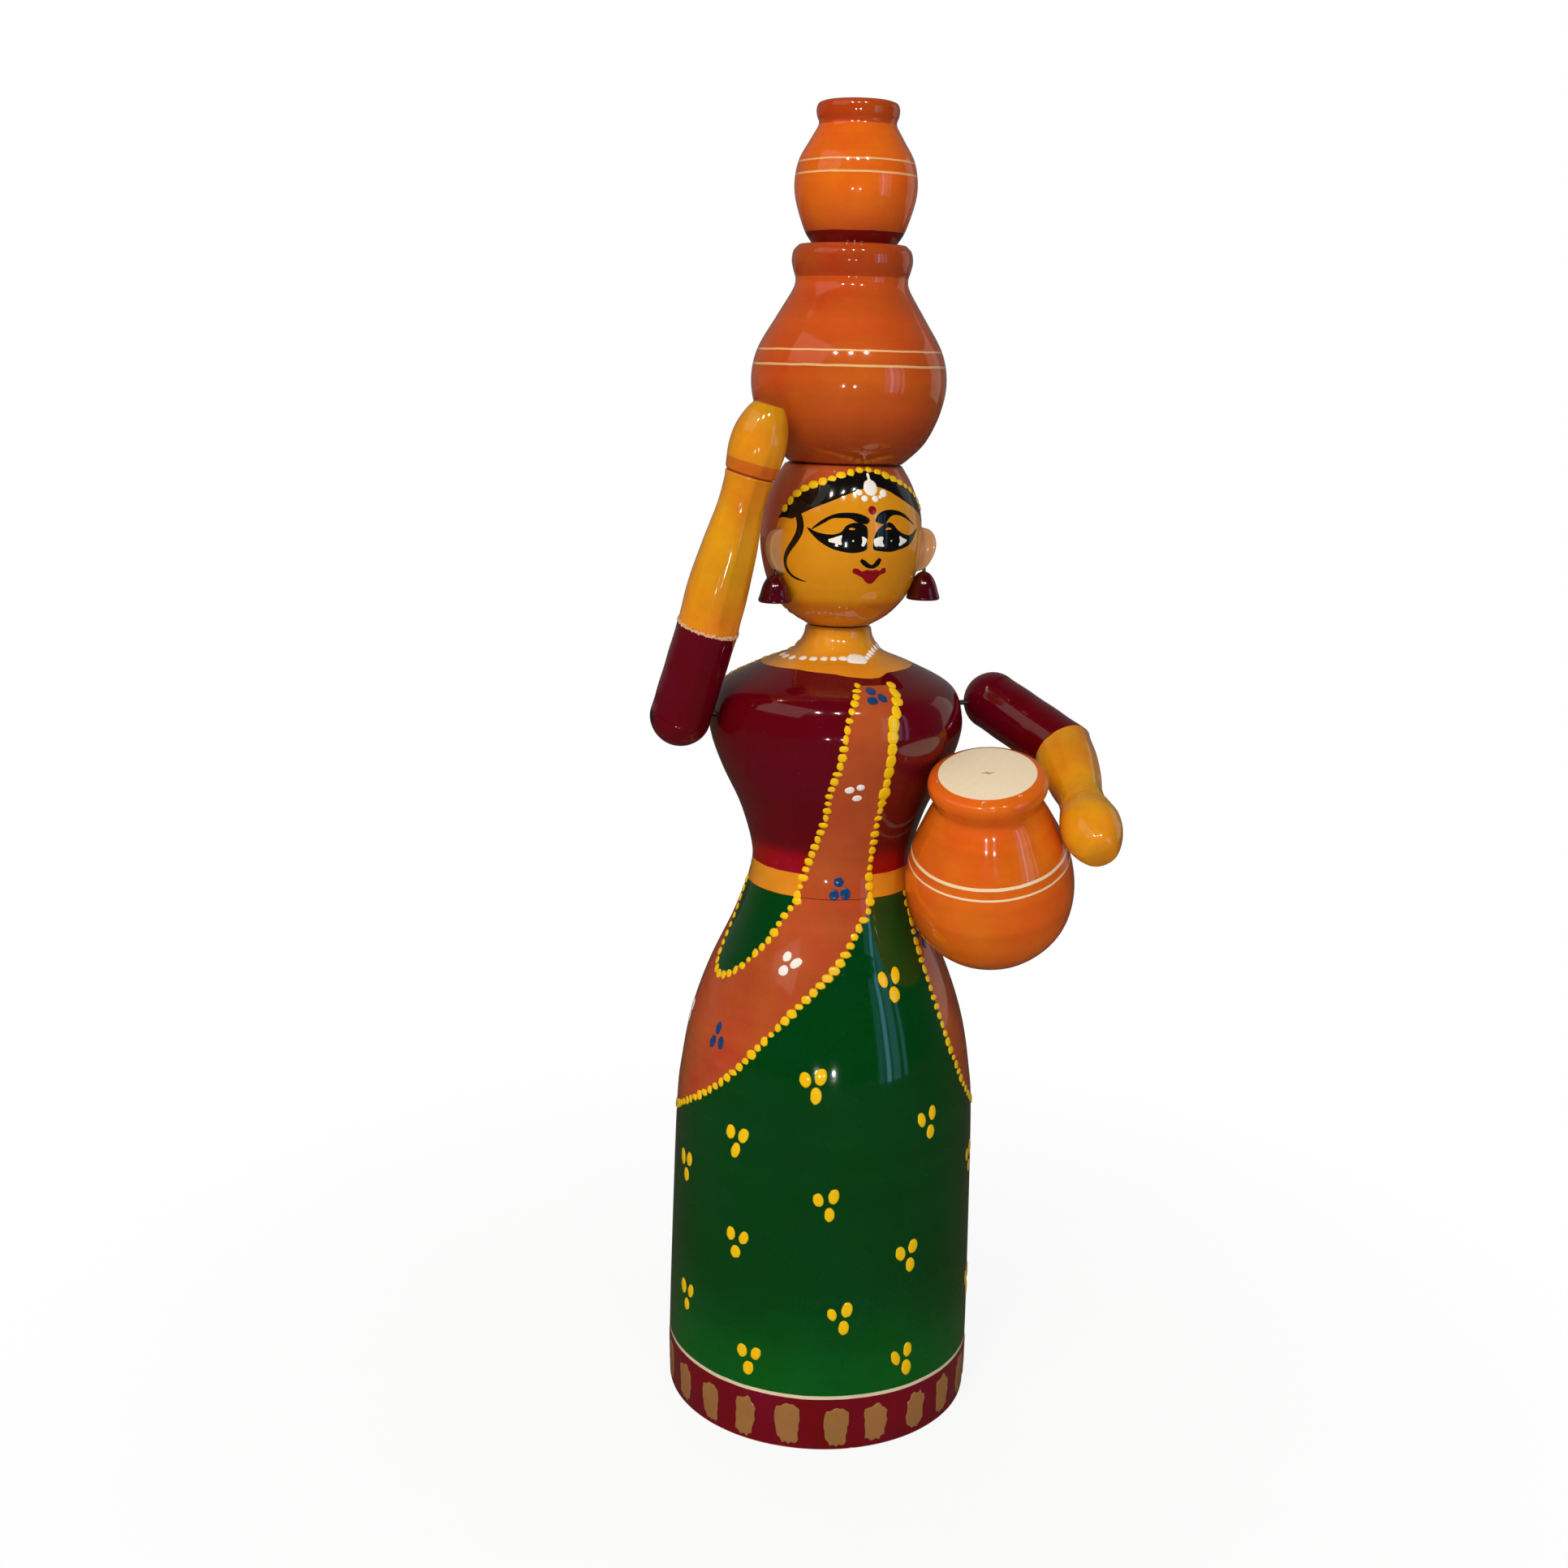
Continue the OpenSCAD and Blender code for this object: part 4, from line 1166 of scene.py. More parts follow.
class DOLL_OT_dots(bpy.types.Operator):
    """Three-dot clusters on the skirt and the sash, and the bronze dabs round the hem"""

    bl_idname, bl_label = "doll.dots", "Dots and hem dabs"

    def execute(self, context):
        skirt, bodice = turning_of("skirt"), turning_of("bodice")
        seed = sizes().seed
        dot = sizes().dot / MM
        yellow = enamel("bead_yellow", "yellow")
        white = enamel("brushed_white", "white", mottle=0.1)
        blue = enamel("dot_blue", "blue")
        on_green = [(10.9, 138.8, 0), (-25.2, 112.6, 4), (-54.9, 93.1, -10), (21.8, 98.5, 6),
                    (-84.3, 77.5, 0), (-18.9, 77.7, 5), (56.1, 78.5, 0), (-53.2, 62.1, -12),
                    (13.1, 59.1, 8), (-80, 36.9, -6), (-12.7, 42.5, 8), (60.5, 36.3, 0), (-46.6, 26.8, -8),
                    (12.4, 26.4, 14), (90, 60, 4), (87, 28, -5), (125, 75, 6), (160, 58, -4), (126, 42, 0),
                    (-163, 74, 5), (-128, 61, -6), (160, 27, 3), (-165, 41, 8), (-122, 28, -5),
                    (-120, 76, 3)]
        sash_blue = [(-0.6, 222.3, 188), (-14.2, 165.0, 178), (168, 205, 180), (-165, 180, 188)]
        sash_white = [(-10.1, 195.3, 8), (-172, 219, 0), (160, 184, 5), (176, 168, 0)]
        cloth_white = [(-42.2, 144.2, -36), (-108, 120, 0), (-150, 104, 6), (165, 131, 0), (120, 106, -5)]
        cloth_blue = [(-70.9, 120.3, 180), (43.6, 148.6, 0), (80, 112, 0), (-130, 142, 6), (-178, 110, 0),
                      (135, 146, 0)]
        dot_clusters("skirt_dots", skirt, on_green, dot, yellow, seed, slot="mustard_lacquer")
        dot_clusters("sash_blue_dots", bodice, sash_blue, dot, blue, seed + 1, tall=1.05, grip=0.7)
        dot_clusters("sash_white_dots", bodice, sash_white, dot * 0.85, white, seed + 2, tall=0.85, grip=0.68)
        dot_clusters("cloth_white_dots", skirt, cloth_white, dot * 0.88, white, seed + 3, tall=1.3, grip=0.75)
        dot_clusters("cloth_blue_dots", skirt, cloth_blue, dot * 0.8, blue, seed + 4, tall=1.4, grip=0.8)
        rng = random.Random(seed)
        dabs = []
        for k in range(22):
            dabs.append((-79.2 + 16.36 * k + rng.uniform(-1, 1), 8.4 + rng.uniform(-0.5, 0.5),
                         (3.3 * rng.uniform(0.85, 1.15), 6.3 * rng.uniform(0.92, 1.06), 0.12),
                         rng.uniform(-5, 5)))
        bronze = material_once("hem_bronze", lambda name: lacquered(
            name, paint("gold"), turned=False, metal=0.25, mottle=0.5, coat=0.3))
        grow("hem_dabs", surface_mesh("hem_dabs", skirt, dabs), dots_tree(), FIGURE,
             Dabs=dab_shapes("hem_dab", 26, 0.12, FLAT_DAB, 11, 3.0), Material=bronze, Seed=seed + 5)
        return {"FINISHED"}


class DOLL_OT_pots(bpy.types.Operator):
    """Three turned pots with cream lines, a maroon foot on the small one, bare tops and painted shade towards
    each pot's foot
    """

    bl_idname, bl_label = "doll.pots", "Pots"

    def execute(self, context):
        line, pale = rgb(240, 190, 130), rgb(255, 228, 186)
        top = bare_wood("pot_top_wood", 0.07)
        looks = {
            "lower_pot": (paint("burnt"),
                          # Painted shade: darker towards the foot of the big pot
                          [("tint_and_light_ramp", 288, 304, rgb(164, 66, 24)), ("above", 334.6, rgb(178, 70, 22)),
                           ("line", 315.0, 0.48, line), ("line", 311.0, 0.6, line),
                           ("line", 284.2, 0.9, rgb(60, 20, 8))]),
            "upper_pot": (paint("orange"),
                          # Painted shade: darker just above the maroon foot of the small pot
                          [("tint_and_light_ramp", 347, 356, rgb(206, 86, 24)), ("above", 374.8, rgb(190, 74, 20)),
                           ("below", 346.7, rgb(112, 6, 12)), ("line", 365.0, 0.45, line),
                           ("line", 361.6, 0.52, line)]),
            "hip_pot": (paint("orange"),
                        # Painted shade: darker towards the foot of the hip pot
                        [("tint_and_light_ramp", -22, -6, rgb(208, 96, 26)), ("line", 14.0, 0.85, pale),
                         ("line", 11.0, 0.62, pale), ("chips", 37.9, 0.99)]),
        }
        for node, (base, layers) in looks.items():
            turning = turning_of(node)
            mesh = lathe(turning, node + "_turning")
            caps = len(mesh.polygons) - 2 * SPOKES
            for index, poly in enumerate(mesh.polygons):
                if index >= caps and (index - caps) % 2 == 0:
                    poly.material_index = 0
            glaze = lacquered(node + "_glaze", base, layers, mottle=0.45, rings=0.34, relief=0.06, lumps=0.7)
            finish_mesh(mesh, node + "_turning", [glaze, glaze if node == "lower_pot" else top], FIGURE,
                        [node], sharp=50)
        self.lathe_mark(turning_of("hip_pot"))
        return {"FINISHED"}

    def lathe_mark(self, turning):
        """Fine scratches left by the lathe centre on the hip pot's bare top."""
        bm = bmesh.new()
        for points in ([(-1.9, -0.5), (-0.9, 0.1), (0.4, -0.1), (1.2, 0.5), (2.0, 0.7)],
                       [(-0.6, 0.7), (-0.3, 0.2), (0.2, 0.35), (0.7, -0.3)]):
            path = np.array(smooth_loop(points, 5, closed=False))
            d = np.gradient(path, axis=0)
            d /= np.hypot(d[:, 0], d[:, 1])[:, None]
            wide = 0.16 * np.sin(np.linspace(0.25, math.pi - 0.25, len(path)))
            side = np.column_stack([-d[:, 1], d[:, 0]]) * wide[:, None]
            rows = [[bm.verts.new(turning.place @ (Vector((*xy, turning.z[-1] + h)) * MM))
                     for xy, h in ((p - s, -0.2), (p + s, -0.2), (p + s, 0.03), (p - s, 0.03))]
                    for p, s in zip(path, side)]
            bridge(bm, rows)
            bm.faces.new(rows[0])
            bm.faces.new(rows[-1])
        dark = material_once("scratch", lambda name: lacquered(
            name, rgb(150, 122, 84), turned=False, coat=0.0))
        finish_mesh(mesh_of(bm, "lathe_mark"), "lathe_mark", [dark], FIGURE)


class DOLL_OT_ears(bpy.types.Operator):
    """Carved ears with a dished face, and the bell earrings under them"""

    bl_idname, bl_label = "doll.ears", "Ears and earrings"

    def execute(self, context):
        wood = lacquered("ear_wood", rgb(205, 152, 104), turned=False, coat=0.25, mottle=0.5)
        maroon = material_once("earring_maroon", lambda name: lacquered(
            name, rgb(76, 4, 16), turned=False, mottle=0.6, lumps=2.5))
        lobe = smooth_loop([(-0.9, 0.46), (0.2, 0.49), (0.72, 0.4), (0.98, 0.2), (0.95, -0.02), (0.7, -0.24),
                            (0.35, -0.41), (-0.1, -0.49), (-0.9, -0.5)], 5)
        layers = [(0.0, 0.95), (0.35, 0.98), (0.62, 1.08), (0.8, 1.3), (0.92, 1.36), (0.985, 1.1), (1.0, 0.6)]
        for side, label in ((-1, "right"), (1, "left")):
            spin = Matrix.Rotation(math.radians(side * EAR_TURN), 3, "Z")
            bm = bmesh.new()
            rows = []
            for share, half in layers[1:] + [(s, -h) for s, h in reversed(layers[1:])]:
                row = []
                for x, z in lobe:
                    x, z = EAR_MID_X + (x - EAR_MID_X) * share, EAR_MID_Z + (z - EAR_MID_Z) * share
                    out = HEAD_R + EAR_REACH * x
                    row.append(bm.verts.new(spin @ Vector((half, -out, EAR_Z + EAR_HIGH * z)) * MM))
                rows.append(row)
            bridge(bm, rows)
            count = len(lobe)
            for row, half in ((rows[0], layers[0][1]), (rows[-1], -layers[0][1])):
                middle = Vector((half, -(HEAD_R + EAR_REACH * EAR_MID_X), EAR_Z + EAR_HIGH * EAR_MID_Z))
                centre = bm.verts.new(spin @ middle * MM)
                for k in range(count):
                    bm.faces.new((row[k], row[(k + 1) % count], centre))
            mesh = mesh_of(bm, label + "_ear_lobe")
            finish_mesh(mesh, label + "_ear_lobe", [wood], FIGURE, [label + "_ear"], sharp=70)
            at = pointing(side * EAR_TURN, 0) * EARRING_OUT + Vector((0, 0, EARRING_Z))
            bell = Turning([(4.45, 0.0), (4.8, 0.25), (4.86, 0.7), (4.5, 1.8), (4.1, 3.2), (3.65, 4.6),
                            (3.0, 5.9), (2.15, 7.0), (1.15, 7.75), (0.1, 8.1)], standing(at))
            phase = side * 1.3

            def dented(radii, angle, s, z, phase=phase):
                return radii * (0.985 + 0.012 * np.cos(3 * angle + phase + z * 0.4))

            mesh = lathe(bell, label + "_bell", BELL_SPOKES, dented)
            finish_mesh(mesh, label + "_bell", [maroon, maroon], FIGURE, [label + "_earring"])
        return {"FINISHED"}


def cut_mitre(mesh, arm, keep_ahead):
    """Cuts a limb at the elbow's mitre plane and closes the cut."""
    bm = bmesh.new()
    bm.from_mesh(mesh)
    geom = bm.verts[:] + bm.edges[:] + bm.faces[:]
    bmesh.ops.bisect_plane(bm, geom=geom, plane_co=arm.elbow * MM, plane_no=arm.mitre, clear_inner=keep_ahead,
                           clear_outer=not keep_ahead, dist=1e-7)
    rim = [e for e in bm.edges if e.is_boundary]
    bmesh.ops.holes_fill(bm, edges=rim, sides=0)
    bmesh.ops.recalc_face_normals(bm, faces=bm.faces)
    bm.to_mesh(mesh)
    bm.free()


def drilled(mesh, cutters):
    """Takes round bores out of a closed mesh. A cutter is (start, end, radius) in mm."""
    obj = bpy.data.objects.new("drilled", mesh)
    bpy.context.scene.collection.objects.link(obj)
    tools = []
    for start, end, radius in cutters:
        bm = bmesh.new()
        bmesh.ops.create_cone(bm, cap_ends=True, segments=40, radius1=radius * MM, radius2=radius * MM,
                              depth=(end - start).length * MM)
        bm.transform(standing((start + end) / 2, (end - start).normalized()))
        tool_mesh = bpy.data.meshes.new("drill")
        bm.to_mesh(tool_mesh)
        bm.free()
        tool = bpy.data.objects.new("drill", tool_mesh)
        bpy.context.scene.collection.objects.link(tool)
        modifier = obj.modifiers.new("bore", "BOOLEAN")
        modifier.operation, modifier.solver, modifier.object = "DIFFERENCE", "EXACT", tool
        tools.append(tool)
    bpy.context.view_layer.update()
    graph = bpy.context.evaluated_depsgraph_get()
    made = bpy.data.meshes.new_from_object(obj.evaluated_get(graph), depsgraph=graph)
    for o in tools + [obj]:
        bpy.data.objects.remove(o)
    return made


def flats(radii, angle, cuts, share):
    """Takes soft flats off a ring: each cut is (angle in degrees, depth as a share of the radius)."""
    for turn, depth in cuts:
        c = np.cos(angle - math.radians(turn))
        limit = radii * (1 - depth * share) / np.maximum(c, 1e-3)
        radii = np.where(c > 0.2, np.minimum(radii, limit), radii)
    return radii


class DOLL_OT_arms(bpy.types.Operator):
    """Maroon sleeves, carved forearms with wrist grooves, and the glue line at the raised elbow"""

    bl_idname, bl_label = "doll.arms", "Arms"

    def execute(self, context):
        self.sleeve(RIGHT, RIGHT_ARM)
        self.sleeve(LEFT, LEFT_ARM)
        groove = rgb(150, 62, 18)
        self.forearm(RIGHT, RIGHT_ARM, [(44.0, 0.45, 0.35)],
                     [(20, 0.085), (95, 0.07), (170, 0.06), (255, 0.05),
                                                             (315, 0.05)],
                     [("line", 45.9, 3.4, rgb(206, 112, 26)), ("line", 44.0, 0.55, groove)])
        self.forearm(LEFT, LEFT_ARM, [(26.9, 0.22, 0.22), (28.0, 0.34, 0.25), (29.0, 0.2, 0.2)],
                     [(40, 0.03), (130, 0.035), (220, 0.03), (300, 0.035)],
                     [("line", 28.0, 0.3, groove), ("line", 26.9, 0.16, groove),
                      ("line", 29.0, 0.14, groove)])
        self.glue_line(RIGHT)
        return {"FINISHED"}

    def sleeve(self, arm, body):
        rows = [(SLEEVE_R * math.cos(a), SLEEVE_R * math.sin(a)) for a in np.linspace(-math.pi / 2, 0, 15)]
        rows += [(SLEEVE_R - 0.05, 1.5), (SLEEVE_R - 0.05, UPPER_ARM / 2),
                 (SLEEVE_R - 0.05, UPPER_ARM + SLEEVE_R)]
        turning = Turning(rows, standing(arm.shoulder, arm.upper))

        def hand_sanded(radii, angle, s, z):
            return radii * (0.994 + 0.006 * np.cos(2 * angle + z * 0.09)) - 0.05 * (1 + math.sin(z * 0.6))

        mesh = lathe(turning, arm.side + "_sleeve", 128, hand_sanded)
        cut_mitre(mesh, arm, keep_ahead=False)
        outward = Vector((math.copysign(1, arm.shoulder.x), 0, 0))
        centre = arm.shoulder
        head_at = centre + outward * (SLEEVE_R - 0.25 - NAIL_HEAD_DEPTH)
        mesh = drilled(mesh, [(centre - outward * 12, centre + outward * 12, NAIL_BORE),
                              (head_at, head_at + outward * 4, NAIL_HEAD_ROOM)])
        maroon = material_once("sleeve_lacquer", lambda name: lacquered(
            name, paint("maroon"), turned=False, mottle=0.5, lumps=1.0))
        mesh.materials.clear()
        for poly in mesh.polygons:
            poly.material_index = 0
        finish_mesh(mesh, arm.side + "_sleeve", [maroon], body, [arm.side + "_upper_arm"],
                    sharp=35)

    def forearm(self, arm, body, grooves, cuts, layers):
        place = standing(arm.elbow, arm.fore)
        read = Turning.of(arm.side + "_forearm", place, low=2.0)
        rows = [(SLEEVE_R - 0.12, -SLEEVE_R - 1), (SLEEVE_R - 0.12, 0.0)] + [tuple(r) for r in read.keys]
        turning = Turning(rows, place)
        dense = np.unique(np.concatenate([turning.z] + [np.linspace(z - 1, z + 1, 15) for z, _,
                                                        _ in grooves]))
        r = np.interp(dense, turning.z, turning.r)
        turning.r, turning.z = r, dense
        turning.s = np.concatenate([[0], np.cumsum(np.hypot(np.diff(r), np.diff(dense)))])
        wrist = grooves[0][0]

        def carved(radii, angle, s, z):
            share = max(0.0, min(1.0, (z + 2) / 6)) * max(0.25, min(1.0, (arm.length - 6 - z) / 20))
            radii = flats(radii, angle, cuts, share if z < wrist else share * 0.7)
            for centre, depth, wide in grooves:
                radii = radii - depth * math.exp(-((z - centre) / wide) ** 2)
            ripple = 0.04 * np.sin(angle * 5 + z * 0.31) + 0.04 * np.sin(angle * 3 - z * 0.17)
            return radii - 0.08 + ripple * min(1.0, radii.mean() / 4)

        mesh = lathe(turning, arm.side + "_carved_forearm", FOREARM_SPOKES, carved)
        cut_mitre(mesh, arm, keep_ahead=True)
        skin = lacquered(arm.side + "_forearm_lacquer", paint("mustard"), layers, mottle=1.0, rings=0.05,
                         relief=0.02, lumps=2.2)
        for poly in mesh.polygons:
            poly.material_index = 0
        finish_mesh(mesh, arm.side + "_carved_forearm", [skin], body, [arm.side + "_forearm"],
                    sharp=50)

    def glue_line(self, arm):
        """Ragged pale line of dried glue and bared wood where the forearm meets the sleeve."""
        rng = random.Random(sizes().seed)
        across = arm.upper.cross(UP).normalized()
        other = arm.upper.cross(across)
        count = 190
        co, outward, sideways, size = [], [], [], []
        for k in range(count):
            a = 2 * math.pi * k / count
            ring = across * math.cos(a) + other * math.sin(a)
            base = arm.shoulder + ring * (SLEEVE_R - 0.12)
            t = (arm.elbow - base).dot(arm.mitre) / arm.upper.dot(arm.mitre)
            co.append((base + arm.upper * (t + 0.35 + rng.uniform(-0.3, 0.45))) * MM)
            outward.append(ring)
            sideways.append(arm.mitre.cross(ring))
            size.append([v * MM * rng.uniform(0.5, 1.35) for v in (0.42, 0.36, 0.2)])
        mesh = bpy.data.meshes.new("elbow_glue")
        mesh.from_pydata(co, [], [])
        store_vectors(mesh, outward, sideways, size)
        glue = material_once("dried_glue", lambda name: lacquered(
            name, rgb(226, 186, 140), turned=False, coat=0.1, mottle=0.8))
        grow("elbow_glue", mesh, dots_tree(), RIGHT_ARM, slot="pale_wood",
             Dabs=dab_shapes("glue_dab", 7, 0.3, [(0.9, -0.8), (1.0, 0.1), (0.6, 0.9)], 9), Material=glue,
             Seed=sizes().seed)


class DOLL_OT_fittings(bpy.types.Operator):
    """Steel nails and pins, and the wooden dowels and pegs inside"""

    bl_idname, bl_label = "doll.fittings", "Nails, dowels and pegs"

    def execute(self, context):
        steel = nail_steel("nail_steel")
        wood = bare_wood("dowel_wood")
        for name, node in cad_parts.items():
            if node.hide_render:
                continue
            metal = "nail" in name or "pins" in name
            for place in node.material_slots:
                place.link = "OBJECT"
                place.material = steel if metal else wood
        return {"FINISHED"}


# ---- Stage, in metres, watts and degrees ----

CAMERA_AT = (-0.1916, -0.4991, 0.3117)
CAMERA_HEADING = -19.44
CAMERA_PITCH = 12.82
CAMERA_ROLL = 1.40
CAMERA_LENS = 42.64        # mm
MIDDLE = (0, 0, 0.2)       # what the softboxes and walls shine on

# Name, place, width, height, power, tint and whether the lacquer mirrors it
SOFTBOXES = [("key_softbox", (-1.05, -0.85, 1.35), 0.8, 0.7, 11.5, (1.0, 0.96, 0.9), False),
             ("fill_softbox", (1.2, -0.9, 0.7), 0.8, 1.0, 0.5, (0.95, 0.97, 1.0), False),
             ("back_softbox", (0.1, 1.3, 0.9), 1.0, 0.8, 4.5, (1, 1, 1), False),
             ("left_wall", (-1.5, -0.3, 1.45), 1.6, 1.1, 3.0, (1.0, 0.88, 0.84), True),
             ("right_wall", (1.5, 0.35, 0.5), 0.7, 1.1, 0.7, (1.0, 0.93, 0.85), True)]
WINDOW_OUT, WINDOW_Z, WINDOW_HIGH = 1.13, 0.36, 0.66
WINDOW_PANES = [(24, 0.10, 0.10), (30, 0.07, 0.36), (37, 0.13, 0.22), (45, 0.06, 0.12)]  # turn, width, power
WINDOW_TINT = (0.24, 0.6, 1.0)
LAMP_OUT, LAMP_Z, LAMP_SIZE, LAMP_POWER = 1.0, 1.12, 0.046, 1.9
LAMP_TINT = (1.0, 0.93, 0.82)
LOW_LAMP_OUT, LOW_LAMP_Z, LOW_LAMP_SIZE, LOW_LAMP_POWER = 1.25, 0.16, 0.04, 0.35
LOW_LAMP_TURNS = (-27, -14)
LOW_LAMP_TINT = (1.0, 0.95, 0.88)


def out_in_front(turn, out, height):
    """Place `turn` degrees round from the front (-Y), `out` m away and `height` m up."""
    a = math.radians(turn)
    return (out * math.sin(a), -out * math.cos(a), height)


def lamp(name, at, aim, wide, high, power, tint, glossy=True):
    data = bpy.data.lights.new(name, "AREA")
    data.shape = "RECTANGLE" if wide != high else "DISK"
    data.size, data.size_y = wide, high
    data.energy, data.color = power, tint
    obj = bpy.data.objects.new(name, data)
    bpy.context.scene.collection.objects.link(obj)
    obj.location = at
    obj.rotation_euler = (Vector(aim) - Vector(at)).to_track_quat("-Z", "Y").to_euler()
    obj.visible_glossy = glossy
    obj.visible_camera = False
    return obj


class DOLL_OT_stage(bpy.types.Operator):
    """Pale floor, softboxes, lit walls, window panes, three small lamps, two low lamps and the camera"""

    bl_idname, bl_label = "doll.stage", "Studio"

    def execute(self, context):
        scene = context.scene
        scene.view_settings.view_transform = "Standard"
        self.floor()
        self.world(scene)
        for name, at, wide, high, power, tint, glossy in SOFTBOXES:
            lamp(name, at, MIDDLE, wide, high, power, tint, glossy)
        for k, (turn, wide, power) in enumerate(WINDOW_PANES):
            at = out_in_front(turn, WINDOW_OUT, WINDOW_Z)
            lamp(f"window_{k + 1}", at, (0, 0, 0.12), wide, WINDOW_HIGH, power, WINDOW_TINT)
        for k in (-1, 0, 1):
            at = out_in_front(-19 + 21 * k, LAMP_OUT, LAMP_Z + 0.02 * k)
            lamp(f"lamp_{k + 2}", at, (0, 0, 0.25), LAMP_SIZE, LAMP_SIZE, LAMP_POWER, LAMP_TINT)
        for k, turn in enumerate(LOW_LAMP_TURNS):
            at = out_in_front(turn, LOW_LAMP_OUT, LOW_LAMP_Z)
            lamp(f"low_lamp_{k + 1}", at, MIDDLE, LOW_LAMP_SIZE, LOW_LAMP_SIZE, LOW_LAMP_POWER, LOW_LAMP_TINT)
        data = bpy.data.cameras.new("camera")
        data.sensor_width, data.lens = 36, CAMERA_LENS
        data.clip_start, data.clip_end = 0.02, 20
        camera = bpy.data.objects.new("camera", data)
        scene.collection.objects.link(camera)
        turn = Matrix.Rotation(math.radians(CAMERA_HEADING), 4, "Z") @ \
            Matrix.Rotation(math.radians(90 - CAMERA_PITCH), 4, "X") @ \
            Matrix.Rotation(math.radians(CAMERA_ROLL), 4, "Z")
        camera.matrix_world = Matrix.Translation(CAMERA_AT) @ turn
        scene.camera = camera
        return {"FINISHED"}

    def floor(self):
        mesh = bpy.data.meshes.new("floor")
        bm = bmesh.new()
        bmesh.ops.create_circle(bm, cap_ends=True, segments=96, radius=3.0)
        bm.to_mesh(mesh)
        bm.free()
        floor = bpy.data.objects.new("floor", mesh)
        bpy.context.scene.collection.objects.link(floor)
        material, tree, shader = new_material("studio_floor")
        shader.inputs["Roughness"].default_value = 0.9
        shader.inputs["Specular IOR Level"].default_value = 0.1
        grain = ramp(tree, noise(tree, 30, 3), 0.3, 0.7, 0.86, 0.9)
        tint = blend_colour(tree, grain, (0, 0, 0, 1), (1, 1, 1, 1))
        tree.links.new(tint, shader.inputs["Base Color"])
        place = add(tree, "ShaderNodeTexCoord")
        away = add(tree, "ShaderNodeVectorMath", operation="LENGTH")
        tree.links.new(place.outputs["Object"], away.inputs[0])
        ray = add(tree, "ShaderNodeLightPath")
        lit = add(tree, "ShaderNodeEmission")
        lit.inputs["Color"].default_value = (1, 1, 1, 1)
        blend = add(tree, "ShaderNodeMixShader")
        share = ramp(tree, away.outputs["Value"], 0.05, 0.32, 0.9, 1.0)
        feed(tree, blend.inputs[0], calc(tree, "MULTIPLY", share, ray.outputs["Is Camera Ray"]))
        tree.links.new(shader.outputs[0], blend.inputs[1])
        tree.links.new(lit.outputs[0], blend.inputs[2])
        dim = add(tree, "ShaderNodeEmission")
        dim.inputs["Color"].default_value = (0.05, 0.04, 0.03, 1)
        shown = add(tree, "ShaderNodeMixShader")
        feed(tree, shown.inputs[0], ray.outputs["Is Glossy Ray"])
        tree.links.new(blend.outputs[0], shown.inputs[1])
        tree.links.new(dim.outputs[0], shown.inputs[2])
        tree.links.new(shown.outputs[0], tree.nodes["Material Output"].inputs["Surface"])
        mesh.materials.append(material)

    def world(self, scene):
        world = bpy.data.worlds.new("studio")
        scene.world = world
        world.use_nodes = True
        tree = world.node_tree
        for node in list(tree.nodes):
            tree.nodes.remove(node)
        ray = add(tree, "ShaderNodeLightPath")
        seen = add(tree, "ShaderNodeBackground")
        seen.inputs["Color"].default_value = (1, 1, 1, 1)
        soft = add(tree, "ShaderNodeBackground")
        soft.inputs["Color"].default_value = (1.0, 0.98, 0.95, 1)
        soft.inputs["Strength"].default_value = 0.17
        place = add(tree, "ShaderNodeTexCoord")
        towards = add(tree, "ShaderNodeVectorMath", operation="DOT_PRODUCT")
        tree.links.new(place.outputs["Generated"], towards.inputs[0])
        heading = math.radians(CAMERA_HEADING)
        towards.inputs[1].default_value = (-math.sin(heading), math.cos(heading), 0)
        shine = add(tree, "ShaderNodeBackground")
        shine.inputs["Color"].default_value = (1.0, 0.97, 0.93, 1)
        feed(tree, shine.inputs["Strength"], ramp(tree, towards.outputs["Value"], -0.2, 0.95, 0.015, 0.13))
        first, last = add(tree, "ShaderNodeMixShader"), add(tree, "ShaderNodeMixShader")
        feed(tree, first.inputs[0], ray.outputs["Is Glossy Ray"])
        tree.links.new(soft.outputs[0], first.inputs[1])
        tree.links.new(shine.outputs[0], first.inputs[2])
        feed(tree, last.inputs[0], ray.outputs["Is Camera Ray"])
        tree.links.new(first.outputs[0], last.inputs[1])
        tree.links.new(seen.outputs[0], last.inputs[2])
        out = add(tree, "ShaderNodeOutputWorld")
        tree.links.new(last.outputs[0], out.inputs["Surface"])


PIECES = (DOLL_OT_skirt, DOLL_OT_bodice, DOLL_OT_head, DOLL_OT_face, DOLL_OT_necklace, DOLL_OT_bead_borders,
          DOLL_OT_dots, DOLL_OT_pots, DOLL_OT_ears, DOLL_OT_arms, DOLL_OT_fittings, DOLL_OT_stage)


class DOLL_PT_panel(bpy.types.Panel):
    """Sizes, colours and pieces of the doll"""

    bl_idname, bl_label = "DOLL_PT_panel", "Pot carrier doll"
    bl_space_type, bl_region_type, bl_category = "VIEW_3D", "UI", "Doll"

    def draw(self, context):
        column = self.layout.column()
        for group in (context.scene.doll_sizes, context.scene.doll_colours):
            for name in group.bl_rna.properties.keys():
                if name not in ("rna_type", "name"):
                    column.prop(group, name)
        for piece in PIECES:
            column.operator(piece.bl_idname)


CLASSES = (DollColours, DollSizes, *PIECES, DOLL_PT_panel)


def register():
    for cls in CLASSES:
        bpy.utils.register_class(cls)
    bpy.types.Scene.doll_colours = PointerProperty(type=DollColours)
    bpy.types.Scene.doll_sizes = PointerProperty(type=DollSizes)


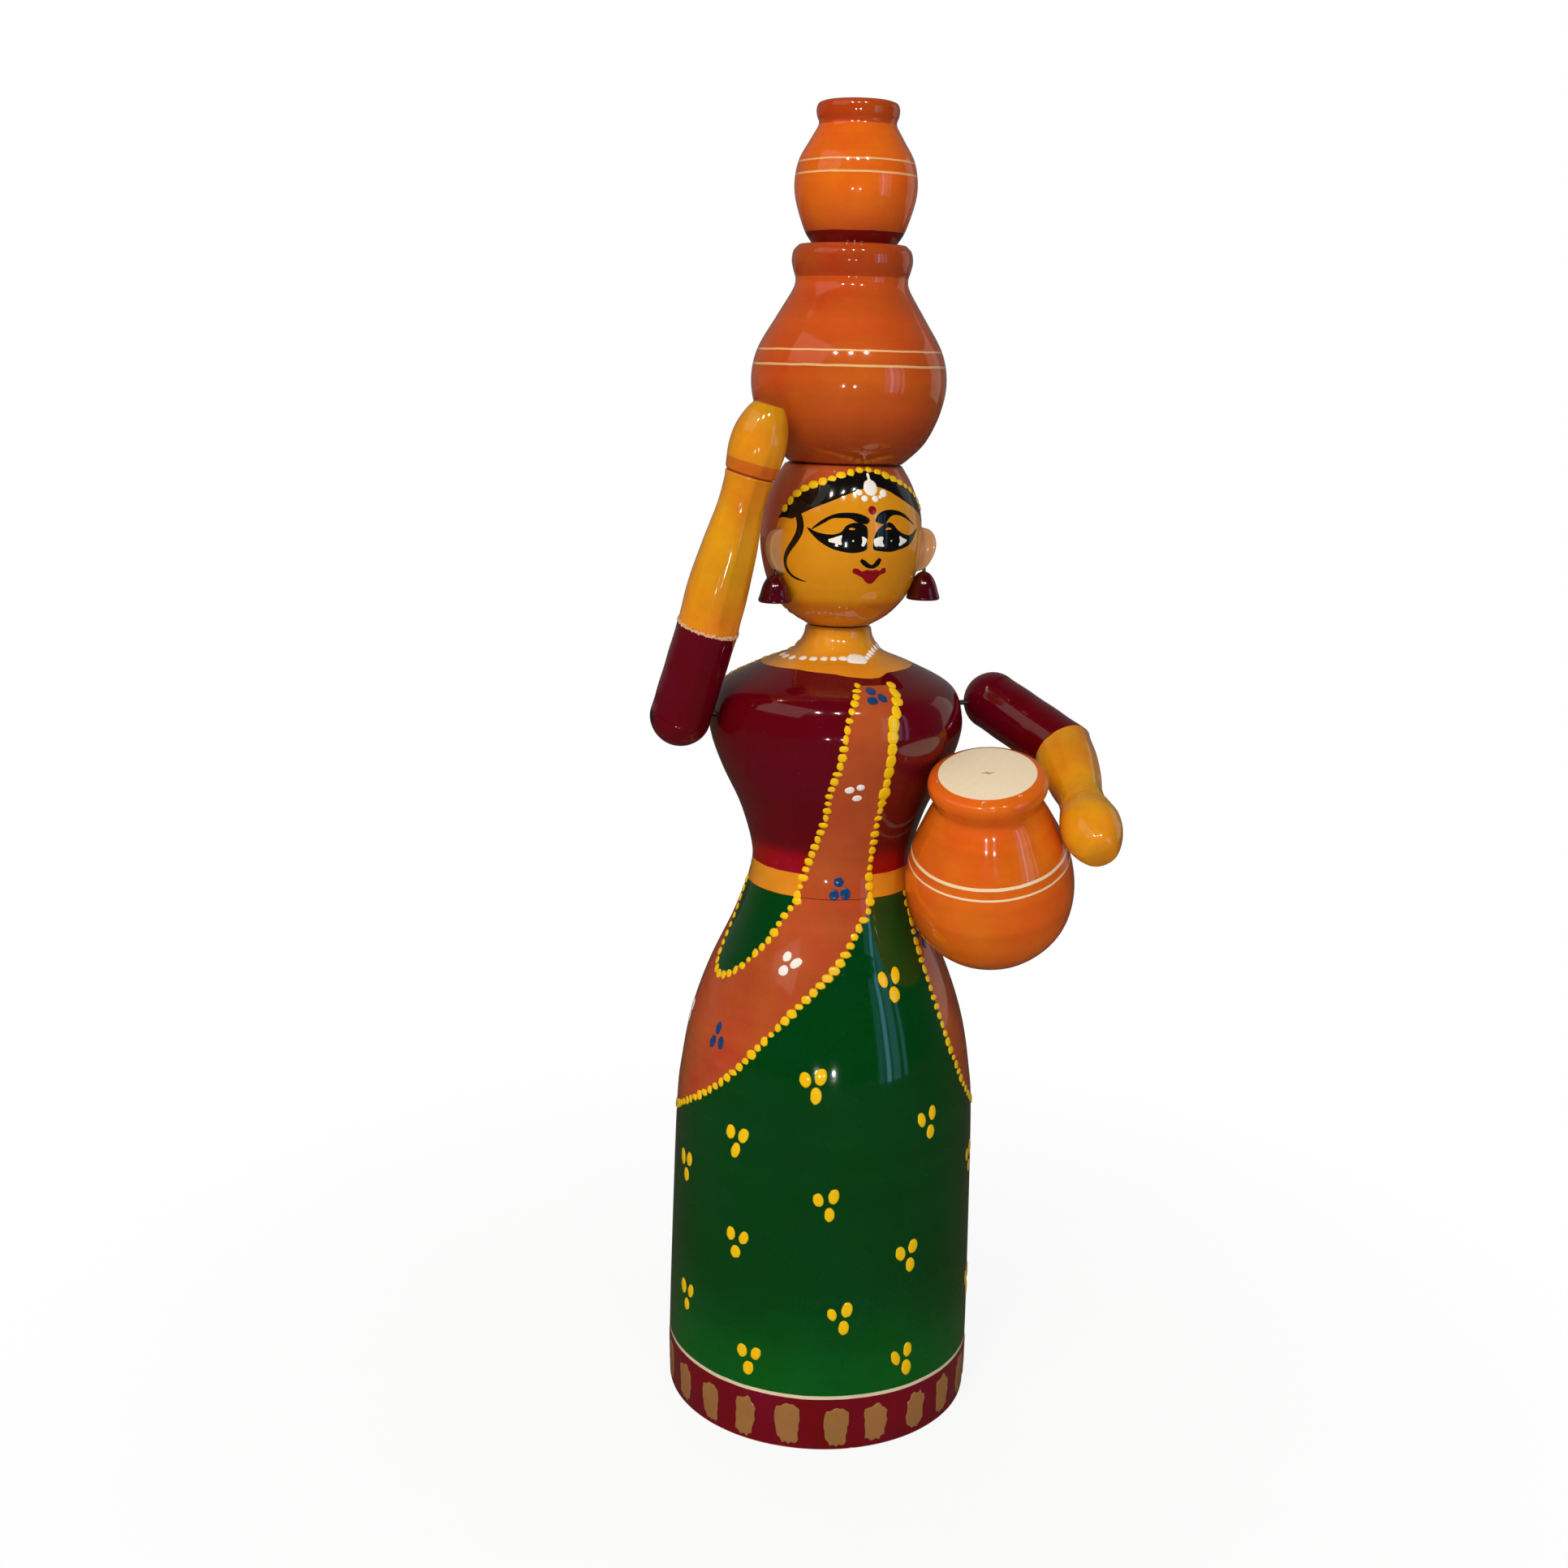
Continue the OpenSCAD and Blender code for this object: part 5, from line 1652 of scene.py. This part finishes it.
def unregister():
    del bpy.types.Scene.doll_colours
    del bpy.types.Scene.doll_sizes
    for cls in reversed(CLASSES):
        bpy.utils.unregister_class(cls)


def main():
    register()
    for piece in PIECES:
        group, name = piece.bl_idname.split(".")
        getattr(getattr(bpy.ops, group), name)()


if __name__ == "__main__":
    main()
